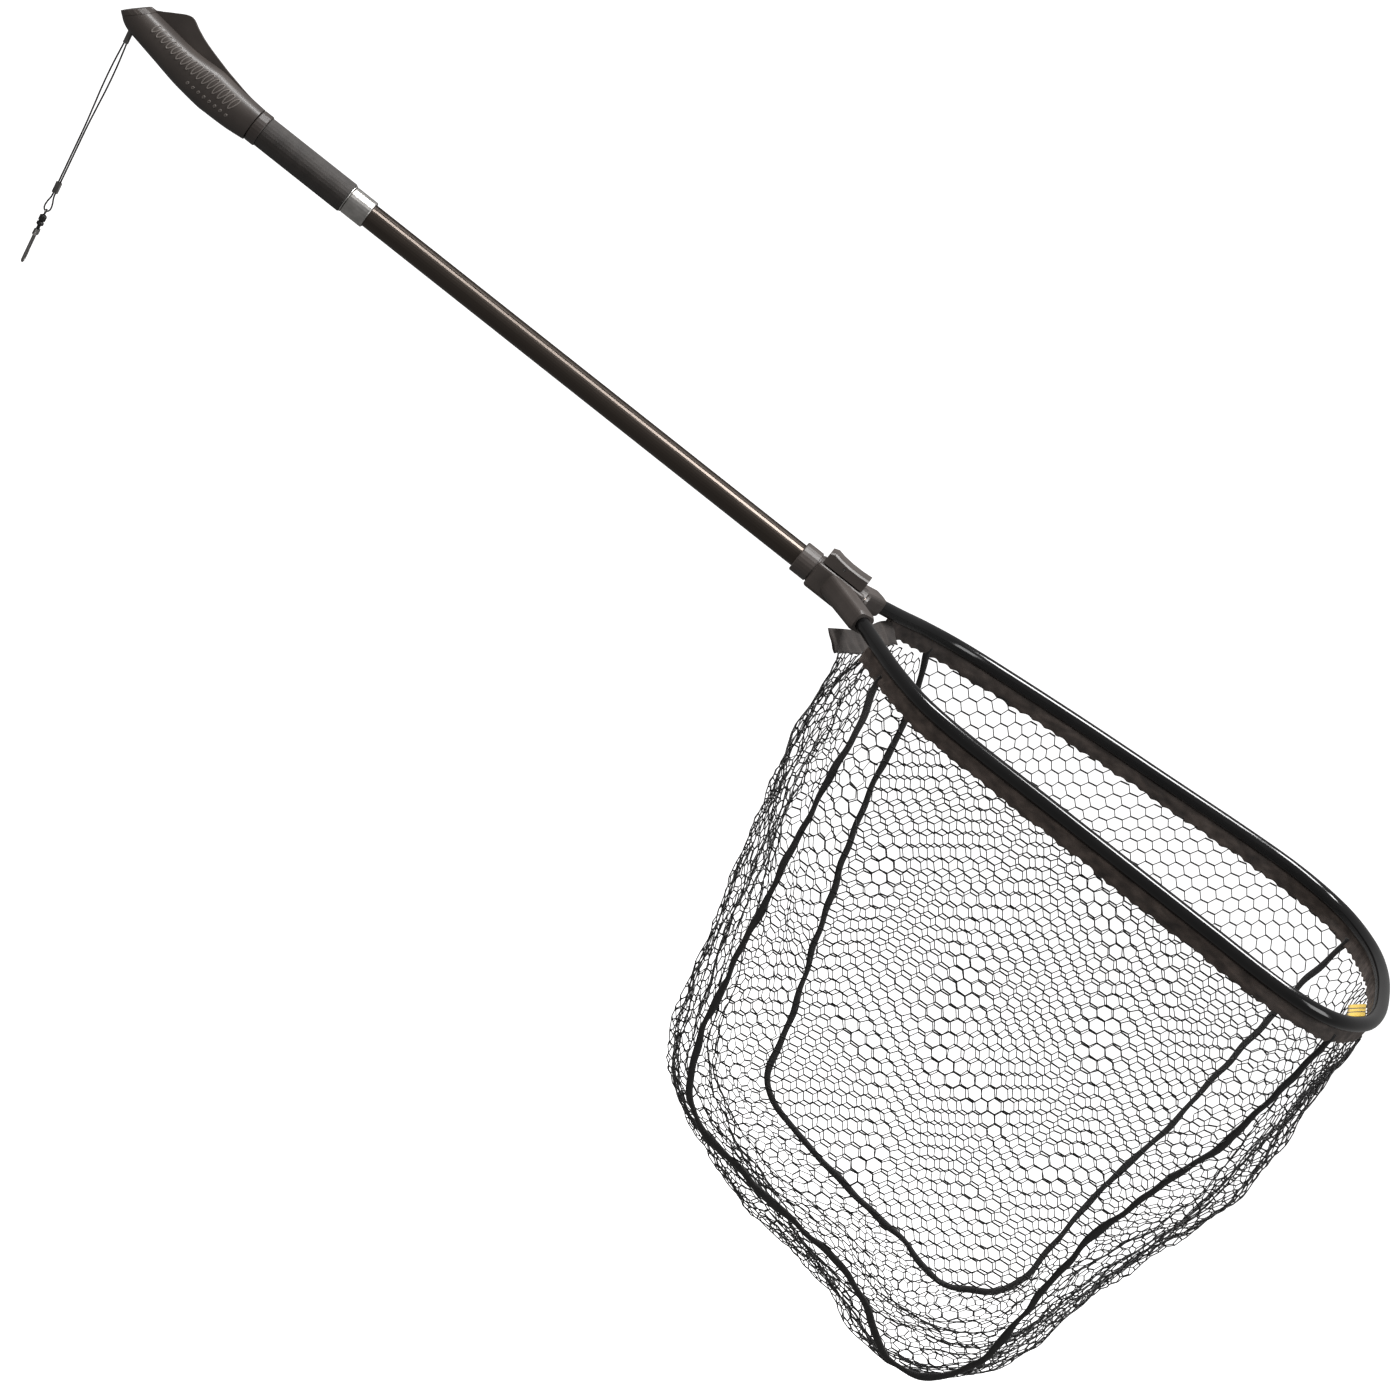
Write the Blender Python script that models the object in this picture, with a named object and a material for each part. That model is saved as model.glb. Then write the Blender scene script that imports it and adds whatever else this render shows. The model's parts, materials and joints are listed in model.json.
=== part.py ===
"""Long-handled landing net whose head slides back along its handle.

Metres, +Z up. The handle runs along X, from the pommel at -X to the hoop at +X.
The origin is on the handle's axis, in the middle of the rubber hand grip.
The hoop lies level, and the bag hangs below it.
Near is the -Y side and far is the +Y side.
"""

import math

import bmesh
import bpy
from mathutils import Quaternion, Vector

# --- Fits -----------------------------------------------------------------
GAP = 0.0003                # between pieces that touch
BORE_PLAY = 0.0004          # round the hoop tube in its sockets

# --- Handle tube ----------------------------------------------------------
SHAFT_RADIUS = 0.0113
SHAFT_WALL = 0.0012
SHAFT_BEHIND_ORIGIN = 0.150
EXPOSED_SHAFT = 0.489       # between the collar and the head, head run out
GROOVE_HALF_WIDTH = 0.0026
GROOVE_DEPTH = 0.0020
FLUTE_HALF_WIDTH = 0.0016
FLUTE_DEPTH = 0.0005
FLUTE_ANGLE = math.radians(43)
PLUG_FLANGE = 0.0030
PLUG_LENGTH = 0.018

# --- Hand grip ------------------------------------------------------------
GRIP_REAR = -0.0429
GRIP_FRONT = 0.0520
GRIP_WALL = 0.00315
BAND_LENGTH = 0.0104
BAND_WALL = 0.0042
RING_LENGTH = 0.0014
RING_WALL = 0.0023
COLLAR_LENGTH = 0.0230
COLLAR_WALL = 0.0018
COLLAR_SCREW_RADIUS = 0.0016

# --- Pommel ---------------------------------------------------------------
# distance behind the band, drop below the shaft, rise above it on the near
# side, rise above it on the far side (the fin), half width beyond the shaft
POMMEL_SECTIONS = (
    (0.0003, 0.0052, 0.0042, 0.0042, 0.0042),
    (0.0195, 0.0072, 0.0056, 0.0058, 0.0050),
    (0.0420, 0.0077, 0.0082, 0.0102, 0.0060),
    (0.0510, 0.0076, 0.0090, 0.0122, 0.0064),
    (0.0760, 0.0046, 0.0080, 0.0190, 0.0076),
    (0.0900, 0.0020, 0.0088, 0.0245, 0.0080),
    (0.1025, -0.0006, 0.0102, 0.0298, 0.0082),
    (0.1180, -0.0036, 0.0120, 0.0220, 0.0080),
    (0.1315, -0.0062, 0.0134, 0.0140, 0.0072),
    (0.1400, -0.0080, 0.0138, 0.0138, 0.0066),
    (0.1480, -0.0118, 0.0138, 0.0138, 0.0056),
    (0.1560, -0.0186, 0.0138, 0.0138, 0.0040),
    (0.1640, -0.0200, 0.0138, 0.0138, 0.0030),
)
POMMEL_SQUARENESS = 0.80
POMMEL_SIDE_POINTS = 12
END_FACE_LOW = (-0.2094, 0.0073)
END_FACE_ANGLE = math.radians(43.5)
END_CAP_THICKNESS = 0.0050
POMMEL_SCREWS = ((-0.1780, 0.0090), (-0.1610, 0.0020))
SCREW_RADIUS = 0.0015
SCREW_HEAD_RADIUS = 0.0031
SCREW_HEAD_HEIGHT = 0.0022
SCREW_NEAR_Y = -0.0110
SCREW_FAR_Y = 0.0150

# --- Head: the yoke. Lengths from here on are from the yoke's rear end -----
SOCKET_LENGTH = 0.0170
SOCKET_RIM = 0.0006
BARREL_NOSE = 0.0012
BUSH_WALL = 0.0013
BUSH_LENGTH = 0.0130
FRONT_BUSH_LENGTH = 0.0090
BODY_LENGTH = 0.0690
BODY_STEP = 0.0010
BODY_HALF_WIDTH = 0.0150
BODY_DROP = 0.0156
BODY_RISE = 0.0103
BODY_BEVEL = 0.0030
DRAWN_BARREL = 0.0142       # barrel radius that the latch heights below were drawn for
ARM_ROOT = (0.0400, 0.0060, -0.0013)
ARM_START = (0.0560, 0.0255, -0.0015)
ARM_MOUTH = (0.0820, 0.0540, -0.0020)
ARM_ROOT_HALF = 0.0112      # half the thickness of the squarish arms
ARM_HALF = 0.0105
ARM_SQUARENESS = 0.45
ARM_SCREW_BACK = 0.0140
ARM_SCREW_RADIUS = 0.0013
ARM_SCREW_HEAD = 0.0026

# --- Head: the latch --------------------------------------------------------
LEVER_REAR = 0.0210
LEVER_FRONT = 0.0640
LEVER_HALF_WIDTH = 0.0132
LEVER_WALL = 0.0032
LEVER_TOPS = (0.0226, 0.0245, 0.0231, 0.0223, 0.0224, 0.0232)
LEVER_ROOF = 0.0205         # underside of its top plate
LEVER_ARCH = 0.0030         # room over the barrel, for the travel
POCKET_FLOOR = 0.0072
PIVOT_X = 0.0400
PIVOT_Z = 0.0175
PIN_RADIUS = 0.0012
LUG_INNER = 0.0035
LUG_OUTER = 0.0065
LUG_HALF_LENGTH = 0.0045
LUG_TOP = 0.0196
PLUNGER_X = 0.0560
PLUNGER_RADIUS = 0.0022
PLUNGER_COLLAR = 0.0032
SPRING_X = 0.0275
SPRING_RADIUS = 0.0022
SPRING_WIRE = 0.00035
SPRING_TURNS = 4

# --- Head: hoop tube --------------------------------------------------------
HOOP_RADIUS = 0.00675
HOOP_WALL = 0.0013
SLOT_HALF_WIDTH = 0.0011
HOOP_LENGTH = 0.570         # from the socket mouths to the tip
HOOP_HALF_WIDTH = 0.230
# share of the hoop's length, share of the way out from the mouth, height
HOOP_RAIL = (
    (0.040, 0.165, -0.0035),
    (0.091, 0.375, -0.0045),
    (0.153, 0.545, -0.0045),
    (0.240, 0.653, -0.0025),
    (0.389, 0.761, 0.0020),
    (0.547, 0.858, 0.0060),
    (0.705, 0.955, 0.0100),
    (0.807, 1.000, 0.0118),
)
# share of the hoop's length, share of its half width, height
HOOP_TIP = (
    (0.881, 0.957, 0.0128),
    (0.933, 0.839, 0.0138),
    (0.975, 0.609, 0.0147),
    (0.995, 0.326, 0.0152),
    (1.000, 0.000, 0.0153),
)
KEDER_RADIUS = 0.0022
HEM_THICKNESS = 0.0016
HEM_DEPTH = 0.0150          # below the tube
HEM_START = 0.029           # share of the hoop's length
BRIDGE_FAR = (0.0950, 0.0660, -0.0140)
BRIDGE_NEAR = (0.0605, -0.0600, -0.0225)
BRIDGE_ACROSS = (0.0183, 0.0, -0.0148)
LABEL_SIZE = (0.045, 0.0006, 0.016)
LABEL_Y = 0.004
LABEL_LEAN = math.radians(50)   # how far it leans in from upright
LABEL_OVERLAP = 0.0020          # how far its root reaches up the hem's inner face

# --- Head: bag ---------------------------------------------------------------
BAG_DEPTH = 0.512
BAG_FLOOR_HALF_WIDTH = 0.125
BAG_NARROWING = 0.8
NET_THICKNESS = 0.0012
TAPE_RADIUS = 0.0024
SEAM_CLEARANCE = 0.0045
# shares of the hoop's length and of the bag's depth, down one side, along the
# floor and up the other; the first and last points lie on the hem
NEAR_SEAM = (
    (0.074, 0.0), (0.096, 0.147), (0.112, 0.264), (0.139, 0.410), (0.167, 0.566),
    (0.205, 0.732), (0.267, 0.836), (0.416, 0.871), (0.618, 0.895), (0.758, 0.973),
    (0.849, 0.898), (0.860, 0.762), (0.858, 0.586), (0.881, 0.430), (0.919, 0.273),
    (0.932, 0.117), (0.937, 0.0),
)
FAR_SEAM = (
    (0.116, 0.0), (0.153, 0.156), (0.179, 0.299), (0.223, 0.459), (0.267, 0.596),
    (0.312, 0.727), (0.354, 0.859), (0.477, 0.904), (0.682, 0.930), (0.784, 0.945),
    (0.874, 0.871), (0.882, 0.746), (0.889, 0.625), (0.909, 0.469), (0.921, 0.273),
    (0.930, 0.137), (0.942, 0.0),
)
MID_LINE = (
    (0.020, 0.080), (0.028, 0.166), (0.046, 0.283), (0.077, 0.400), (0.119, 0.537),
    (0.165, 0.693), (0.232, 0.859), (0.389, 0.934), (0.591, 0.977), (0.749, 1.000),
    (0.881, 0.918), (0.939, 0.725), (0.974, 0.586), (1.007, 0.420), (1.014, 0.273),
    (1.007, 0.137), (1.000, 0.0),
)
FLOOR_FIRST = 6             # where the floor of a seam starts and ends
FLOOR_LAST = 10

# --- Lanyard. Its lengths run down from the pin it swings on -----------------
LANYARD_PIN = (-0.1928, 0.0, 0.0005)
LANYARD_LEAN = math.radians(10.8)
LANYARD_PIN_RADIUS = 0.0012
LANYARD_PIN_REACH = 0.0082  # to either side
LANYARD_POCKET = ((-0.2150, -0.0045, -0.0300), (-0.1805, 0.0045, 0.0062))
FERRULE_TOP = -0.0032
FERRULE_END = 0.0158
FERRULE_RADIUS = 0.0027
CORD_RADIUS = 0.0008
CORD_SPACING = 0.0048
LOOP_SPACING = 0.0018
LOOP_FIRST = 8              # the route's points where the loop starts and ends
LOOP_LAST = 16
# distance down, offset along the handle, one strand and then the other
CORD_ROUTE = (
    (0.0161, -0.0012), (0.0230, -0.0016), (0.0400, -0.0023), (0.0600, -0.0023),
    (0.0800, -0.0016), (0.1000, -0.0010), (0.1300, -0.00095), (0.1600, -0.00095),
    (0.1700, -0.00110), (0.1760, -0.0026), (0.1805, -0.0032), (0.1837, -0.0023),
    (0.1850, 0.0000),
    (0.1837, 0.0023), (0.1805, 0.0032), (0.1760, 0.0026), (0.1700, 0.00110),
    (0.1600, 0.00095), (0.1300, 0.00095), (0.1000, 0.0010), (0.0800, 0.0016),
    (0.0600, 0.0023), (0.0400, 0.0023), (0.0230, 0.0016), (0.0161, 0.0012),
)
CRIMP_START = 0.1560
CRIMP_END = 0.1665
CRIMP_HALF_WIDTH = 0.0030
CRIMP_HALF_DEPTH = 0.0020
CRIMP_EASE = 0.00015        # the strands spread a little below the crimp
EYE_INNER = 0.0018
EYE_WIRE = 0.0007
BARREL_START = 0.1878
BARREL_LENGTH = 0.0080
BARREL_RADIUS = 0.0030
SWIVEL_GAP = 0.1955         # where the barrel's lower half starts turning
HOOK_WIRE = 0.0011
HOOK_SHOULDER = 0.2055
HOOK_END = 0.2370
HOOK_HALF_WIDTH = 0.0040
HOOK_TURN = math.radians(90)    # how far the hook is swivelled as it hangs
GATE_RADIUS = 0.0009
GATE_PIN_RADIUS = 0.0004
GATE_LENGTH = 0.0187
PLATE_HALF_DEPTH = 0.0021

# --- Colours -------------------------------------------------------------------
GRIP_COLOUR = (0.040, 0.036, 0.034, 1.0)
YOKE_COLOUR = (0.090, 0.078, 0.074, 1.0)
SHAFT_COLOUR = (0.045, 0.038, 0.034, 1.0)
STEEL_COLOUR = (0.520, 0.505, 0.480, 1.0)
BLACK_COLOUR = (0.012, 0.012, 0.013, 1.0)
HEM_COLOUR = (0.038, 0.032, 0.028, 1.0)
NET_COLOUR = (0.016, 0.016, 0.017, 1.0)
LABEL_COLOUR = (0.650, 0.520, 0.060, 1.0)
FERRULE_COLOUR = (0.180, 0.175, 0.170, 1.0)


# --- Places that follow from the sizes ----------------------------------------

BORE_RADIUS = SHAFT_RADIUS + GAP
BAND_FRONT = GRIP_REAR - GAP
BAND_REAR = BAND_FRONT - BAND_LENGTH
RING_START = GRIP_FRONT + GAP
COLLAR_START = RING_START + RING_LENGTH + GAP
COLLAR_END = COLLAR_START + COLLAR_LENGTH
HEAD_X = COLLAR_END + EXPOSED_SHAFT
SHAFT_END = HEAD_X + BODY_LENGTH + 0.002
BARREL_BORE = BORE_RADIUS + BUSH_WALL + GAP
YOKE_BARREL = BARREL_BORE + BUSH_WALL
LATCH_LIFT = YOKE_BARREL - DRAWN_BARREL     # added to the yoke's and the latch's drawn heights
HEM_BOTTOM = HOOP_RADIUS + HEM_DEPTH
FINE_SIDES = 28
SIDES = 16


# --- Small tools ---------------------------------------------------------------

def clear_scene():
    for item in list(bpy.data.objects):
        bpy.data.objects.remove(item, do_unlink=True)


def make_material(name, colour, roughness, metallic):
    material = bpy.data.materials.new(name)
    material.use_nodes = True
    shader = material.node_tree.nodes["Principled BSDF"]
    shader.inputs["Base Color"].default_value = colour
    shader.inputs["Roughness"].default_value = roughness
    shader.inputs["Metallic"].default_value = metallic
    material.diffuse_color = colour
    return material


def make_empty(name, place, parent=None):
    empty = bpy.data.objects.new(name, None)
    bpy.context.scene.collection.objects.link(empty)
    empty.parent = parent
    empty.location = place
    return empty


def add_object(name, data, material, parent, place=(0.0, 0.0, 0.0)):
    item = bpy.data.objects.new(name, data)
    bpy.context.scene.collection.objects.link(item)
    if material is not None:
        data.materials.append(material)
    item.parent = parent
    item.location = place
    return item


def finish_mesh(name, bm, material, parent, place=(0.0, 0.0, 0.0)):
    """Close up a bmesh and link it as an object with its sharp edges marked."""
    bmesh.ops.remove_doubles(bm, verts=bm.verts, dist=1e-6)
    bmesh.ops.recalc_face_normals(bm, faces=bm.faces)
    mesh = bpy.data.meshes.new(name)
    bm.to_mesh(mesh)
    bm.free()
    mesh.shade_smooth()
    mesh.set_sharp_from_angle(angle=math.radians(35))
    return add_object(name, mesh, material, parent, place)


def as_cutter(item):
    """Keep a guide or cutting shape out of the finished object."""
    item.hide_render = True
    item.display_type = "WIRE"
    return item


def combine(target, tool, operation="DIFFERENCE"):
    modifier = target.modifiers.new(tool.name, "BOOLEAN")
    modifier.operation = operation
    modifier.object = as_cutter(tool)
    return target


def axis_frame(axis):
    """Two unit vectors that are square to an axis and to each other."""
    axis = Vector(axis).normalized()
    guide = Vector((0.0, 1.0, 0.0))
    if abs(axis.dot(guide)) > 0.9:
        guide = Vector((1.0, 0.0, 0.0))
    side = axis.cross(guide).normalized()
    return side, axis.cross(side).normalized()


def bridge_rings(bm, rings, closed_loop=False):
    """Skin a row of rings that have the same number of points."""
    loops = [[bm.verts.new(point) for point in ring] for ring in rings]
    last = len(loops) if closed_loop else len(loops) - 1
    for index in range(last):
        ring = loops[index]
        following = loops[(index + 1) % len(loops)]
        count = len(ring)
        for step in range(count):
            after = (step + 1) % count
            bm.faces.new((ring[step], ring[after], following[after], following[step]))
    return loops


def fan_cap(bm, loop):
    """Close a ring with triangles to its middle."""
    middle = Vector((0.0, 0.0, 0.0))
    for vert in loop:
        middle += vert.co
    centre = bm.verts.new(middle / len(loop))
    for step, vert in enumerate(loop):
        bm.faces.new((vert, loop[(step + 1) % len(loop)], centre))


def loft(name, rings, material, parent=None):
    """A solid through a row of convex rings, closed at both ends."""
    bm = bmesh.new()
    loops = bridge_rings(bm, rings)
    fan_cap(bm, loops[0])
    fan_cap(bm, loops[-1])
    return finish_mesh(name, bm, material, parent)


def ring_points(centre, side, up, radius, sides):
    points = []
    for step in range(sides):
        angle = 2.0 * math.pi * step / sides
        points.append(centre + side * radius * math.cos(angle) + up * radius * math.sin(angle))
    return points


def turned(name, profile, base, axis, material, parent=None, sides=SIDES, hollow=False):
    """Turn a profile of (radius, distance along the axis) round that axis.

    A hollow profile is a closed outline, and any other is closed by end caps.
    """
    base = Vector(base)
    along = Vector(axis).normalized()
    side, up = axis_frame(axis)
    rings = [ring_points(base + along * reach, side, up, radius, sides) for radius, reach in profile]
    bm = bmesh.new()
    loops = bridge_rings(bm, rings, closed_loop=hollow)
    if not hollow:
        fan_cap(bm, loops[0])
        fan_cap(bm, loops[-1])
    return finish_mesh(name, bm, material, parent)


def rod(name, start, end, radius, material, parent=None, sides=SIDES, end_radius=None):
    """A straight round bar, tapered where it has an end radius."""
    reach = (Vector(end) - Vector(start)).length
    profile = ((radius, 0.0), (end_radius or radius, reach))
    return turned(name, profile, start, Vector(end) - Vector(start), material, parent, sides)


def pipe(name, start_x, end_x, outer, inner, material, parent=None, chamfer=0.0004):
    """A round sleeve along X with its outer edges broken."""
    profile = (
        (inner, start_x),
        (outer - chamfer, start_x),
        (outer, start_x + chamfer),
        (outer, end_x - chamfer),
        (outer - chamfer, end_x),
        (inner, end_x),
    )
    return turned(name, profile, (0, 0, 0), (1, 0, 0), material, parent, FINE_SIDES, hollow=True)


def block(name, low, high, material, parent=None, bevel=0.0):
    """A box between two corners, its edges rounded where a bevel is given."""
    bm = bmesh.new()
    bmesh.ops.create_cube(bm, size=1.0)
    centre = (Vector(low) + Vector(high)) / 2.0
    size = Vector(high) - Vector(low)
    for vert in bm.verts:
        vert.co = Vector((vert.co.x * size.x, vert.co.y * size.y, vert.co.z * size.z)) + centre
    if bevel > 0.0:
        bmesh.ops.bevel(bm, geom=bm.edges[:], offset=bevel, segments=3, affect="EDGES", profile=0.5)
    return finish_mesh(name, bm, material, parent)


def smooth_curve(points, steps):
    """Points on a smooth curve through the given points, steps to each span."""
    points = [Vector(point) for point in points]
    ends = [points[0] * 2.0 - points[1]] + points + [points[-1] * 2.0 - points[-2]]
    curve = []
    for index in range(1, len(ends) - 2):
        before, start, end, after = ends[index - 1:index + 3]
        for step in range(steps):
            t = step / steps
            curve.append(0.5 * (
                start * 2.0
                + (end - before) * t
                + (before * 2.0 - start * 5.0 + end * 4.0 - after) * t * t
                + (start * 3.0 - before - end * 3.0 + after) * t * t * t
            ))
    curve.append(points[-1])
    return curve


def evenly(points, spacing):
    """Read points off a fine line at an even spacing, both ends kept."""
    total = sum((b - a).length for a, b in zip(points, points[1:]))
    count = max(2, round(total / spacing))
    picked = [points[0]]
    walked = 0.0
    for start, end in zip(points, points[1:]):
        length = (end - start).length
        while len(picked) < count and walked + length >= total * len(picked) / count:
            share = (total * len(picked) / count - walked) / length
            picked.append(start.lerp(end, share))
        walked += length
    picked.append(points[-1])
    return picked


def tube(name, points, radius, material, parent=None, closed=False, resolution=1):
    """A round strand along a line of points, closed at its ends."""
    curve = bpy.data.curves.new(name, "CURVE")
    curve.dimensions = "3D"
    curve.bevel_depth = radius
    curve.bevel_resolution = resolution
    curve.use_fill_caps = not closed
    spline = curve.splines.new("POLY")
    spline.points.add(len(points) - 1)
    for node, point in zip(spline.points, points):
        node.co = (point[0], point[1], point[2], 1.0)
    spline.use_cyclic_u = closed
    return add_object(name, curve, material, parent)


def bent_rod(name, points, radius, material, parent=None, sides=10):
    """A round bar bent in an upright plane along X."""
    aside = Vector((0, 1, 0))
    rings = []
    for index, point in enumerate(points):
        heading = points[min(index + 1, len(points) - 1)] - points[max(index - 1, 0)]
        outward = heading.normalized().cross(aside)
        rings.append(ring_points(point, aside, outward, radius, sides))
    return loft(name, rings, material, parent)


def sweep(name, path, section, caps, material, parent=None):
    """Carry an upright section along a nearly level path.

    The section is (offset to the path's left, height), and caps lists the
    faces that close it.
    """
    rings = []
    for index, point in enumerate(path):
        ahead = path[min(index + 1, len(path) - 1)]
        behind = path[max(index - 1, 0)]
        heading = ahead - behind
        left = Vector((-heading.y, heading.x, 0.0)).normalized()
        rings.append([point + left * offset + Vector((0, 0, height)) for offset, height in section])
    bm = bmesh.new()
    loops = bridge_rings(bm, rings)
    for loop in (loops[0], loops[-1]):
        for cap in caps:
            bm.faces.new([loop[corner] for corner in cap])
    return finish_mesh(name, bm, material, parent)


def sheet(name, grid, thickness, material, parent=None):
    """A thin closed solid on both sides of a grid of points."""
    rows = len(grid)
    columns = len(grid[0])

    def normal_at(row, column):
        down = grid[min(row + 1, rows - 1)][column] - grid[max(row - 1, 0)][column]
        across = grid[row][min(column + 1, columns - 1)] - grid[row][max(column - 1, 0)]
        return down.cross(across).normalized()

    bm = bmesh.new()
    faces = []
    for sign in (-0.5, 0.5):
        faces.append([
            [bm.verts.new(grid[r][c] + normal_at(r, c) * thickness * sign) for c in range(columns)]
            for r in range(rows)
        ])
    for layer in faces:
        for r in range(rows - 1):
            for c in range(columns - 1):
                bm.faces.new((layer[r][c], layer[r][c + 1], layer[r + 1][c + 1], layer[r + 1][c]))
    rim = [(0, c) for c in range(columns)]
    rim += [(r, columns - 1) for r in range(1, rows)]
    rim += [(rows - 1, c) for c in range(columns - 2, -1, -1)]
    rim += [(r, 0) for r in range(rows - 2, 0, -1)]
    for (r0, c0), (r1, c1) in zip(rim, rim[1:] + rim[:1]):
        bm.faces.new((faces[0][r0][c0], faces[0][r1][c1], faces[1][r1][c1], faces[1][r0][c0]))
    return finish_mesh(name, bm, material, parent)


# --- Handle tube -----------------------------------------------------------------

def shaft_outline():
    """Outer and inner radius round the shaft, by angle from its top."""
    groove = math.asin(GROOVE_HALF_WIDTH / SHAFT_RADIUS)
    flute = math.asin(FLUTE_HALF_WIDTH / SHAFT_RADIUS)
    edge = math.radians(0.6)
    cuts = [(0.0, groove, GROOVE_DEPTH)]
    cuts += [(side * FLUTE_ANGLE, flute, FLUTE_DEPTH) for side in (-1, 1)]
    angles = [math.radians(step) for step in range(-180, 180, 12)]
    outline = [
        (angle, SHAFT_RADIUS) for angle in angles
        if all(abs(angle - middle) > half + edge for middle, half, depth in cuts)
    ]
    for middle, half, depth in cuts:
        for offset, drop in ((-half, 0.0), (-half + edge, depth), (half - edge, depth), (half, 0.0)):
            outline.append((middle + offset, SHAFT_RADIUS - drop))
    outline.sort()
    boss = groove + math.radians(7)
    inner = SHAFT_RADIUS - SHAFT_WALL
    return [
        (angle, radius, inner - GROOVE_DEPTH if abs(angle) < boss else inner)
        for angle, radius in outline
    ]


def make_shaft(metal):
    outline = shaft_outline()
    rings = []
    for x, column in (
        (-SHAFT_BEHIND_ORIGIN, 1), (SHAFT_END, 1), (SHAFT_END, 2), (-SHAFT_BEHIND_ORIGIN, 2),
    ):
        rings.append([
            Vector((x, row[column] * math.sin(row[0]), row[column] * math.cos(row[0])))
            for row in outline
        ])
    bm = bmesh.new()
    bridge_rings(bm, rings, closed_loop=True)
    return finish_mesh("shaft_tube", bm, metal, None)


def make_plug(name, end_x, inward, plastic):
    """A stopper with a flange that closes the groove as well as the tube."""
    inside = SHAFT_RADIUS - SHAFT_WALL - GROOVE_DEPTH - GAP
    base = (end_x - inward * (PLUG_FLANGE + GAP), 0.0, 0.0)
    profile = (
        (SHAFT_RADIUS - 0.0006, 0.0),
        (SHAFT_RADIUS, 0.0006),
        (SHAFT_RADIUS, PLUG_FLANGE),
        (inside, PLUG_FLANGE),
        (inside, PLUG_FLANGE + PLUG_LENGTH),
    )
    return turned(name, profile, base, (inward, 0, 0), plastic, None, FINE_SIDES)


# --- Hand grip -------------------------------------------------------------------

def make_grip(rubber, plastic, steel):
    bore = BORE_RADIUS
    outer = bore + COLLAR_WALL
    pipe("grip_band", BAND_REAR, BAND_FRONT, bore + BAND_WALL, bore, plastic, chamfer=0.0008)
    pipe("grip_sleeve", GRIP_REAR, GRIP_FRONT, bore + GRIP_WALL, bore, rubber)
    pipe("grip_ring", RING_START, RING_START + RING_LENGTH, bore + RING_WALL, bore, steel)
    collar = pipe("collar", COLLAR_START, COLLAR_END, outer, bore, steel, chamfer=0.0007)
    middle = (COLLAR_START + COLLAR_END) / 2.0
    hole = rod(
        "collar_hole", (middle, 0, -outer - 0.002), (middle, 0, -bore + 0.001),
        COLLAR_SCREW_RADIUS + GAP, None,
    )
    combine(collar, hole)
    rod(
        "collar_screw", (middle, 0, -outer), (middle, 0, -bore - GAP / 2.0),
        COLLAR_SCREW_RADIUS, steel,
    )


# --- Pommel ----------------------------------------------------------------------

def half_outline(x, bottom, top, half_width, side):
    """Points up one side of the pommel, from its keel to its crest."""
    centre = (top + bottom) / 2.0
    height = (top - bottom) / 2.0
    points = []
    for step in range(POMMEL_SIDE_POINTS + 1):
        angle = math.pi * (step / POMMEL_SIDE_POINTS - 0.5)
        across = max(math.cos(angle), 0.0) ** POMMEL_SQUARENESS
        upward = math.copysign(abs(math.sin(angle)) ** POMMEL_SQUARENESS, angle)
        y = GAP / 2.0 + (half_width - GAP / 2.0) * across
        points.append(Vector((x, side * y, centre + height * upward)))
    return points


def pommel_rings(sides):
    rings = []
    for behind, drop, near_rise, far_rise, extra in POMMEL_SECTIONS:
        x = BAND_REAR - GAP - behind
        bottom = -SHAFT_RADIUS - drop
        width = SHAFT_RADIUS + extra
        ring = []
        for side in sides:
            top = SHAFT_RADIUS + (near_rise if side < 0 else far_rise)
            outline = half_outline(x, bottom, top, width, side)
            ring += outline if side < 0 else outline[::-1]
        rings.append(ring)
    return rings


def end_face_normal():
    return Vector((-math.sin(END_FACE_ANGLE), 0.0, math.cos(END_FACE_ANGLE)))


def slice_solid(item, depth, keep_front):
    """Cut a solid square across at a depth in from the slanted end face."""
    normal = end_face_normal()
    spot = Vector((END_FACE_LOW[0], 0.0, END_FACE_LOW[1])) - normal * depth
    bm = bmesh.new()
    bm.from_mesh(item.data)
    cut = bmesh.ops.bisect_plane(
        bm, geom=bm.verts[:] + bm.edges[:] + bm.faces[:], plane_co=spot, plane_no=normal,
        clear_outer=keep_front, clear_inner=not keep_front,
    )
    edges = [part for part in cut["geom_cut"] if isinstance(part, bmesh.types.BMEdge)]
    bmesh.ops.holes_fill(bm, edges=edges, sides=0)
    bmesh.ops.recalc_face_normals(bm, faces=bm.faces)
    bm.to_mesh(item.data)
    bm.free()


def drill(item, name, start, end, radius):
    return combine(item, rod(name, start, end, radius, None))


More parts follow.
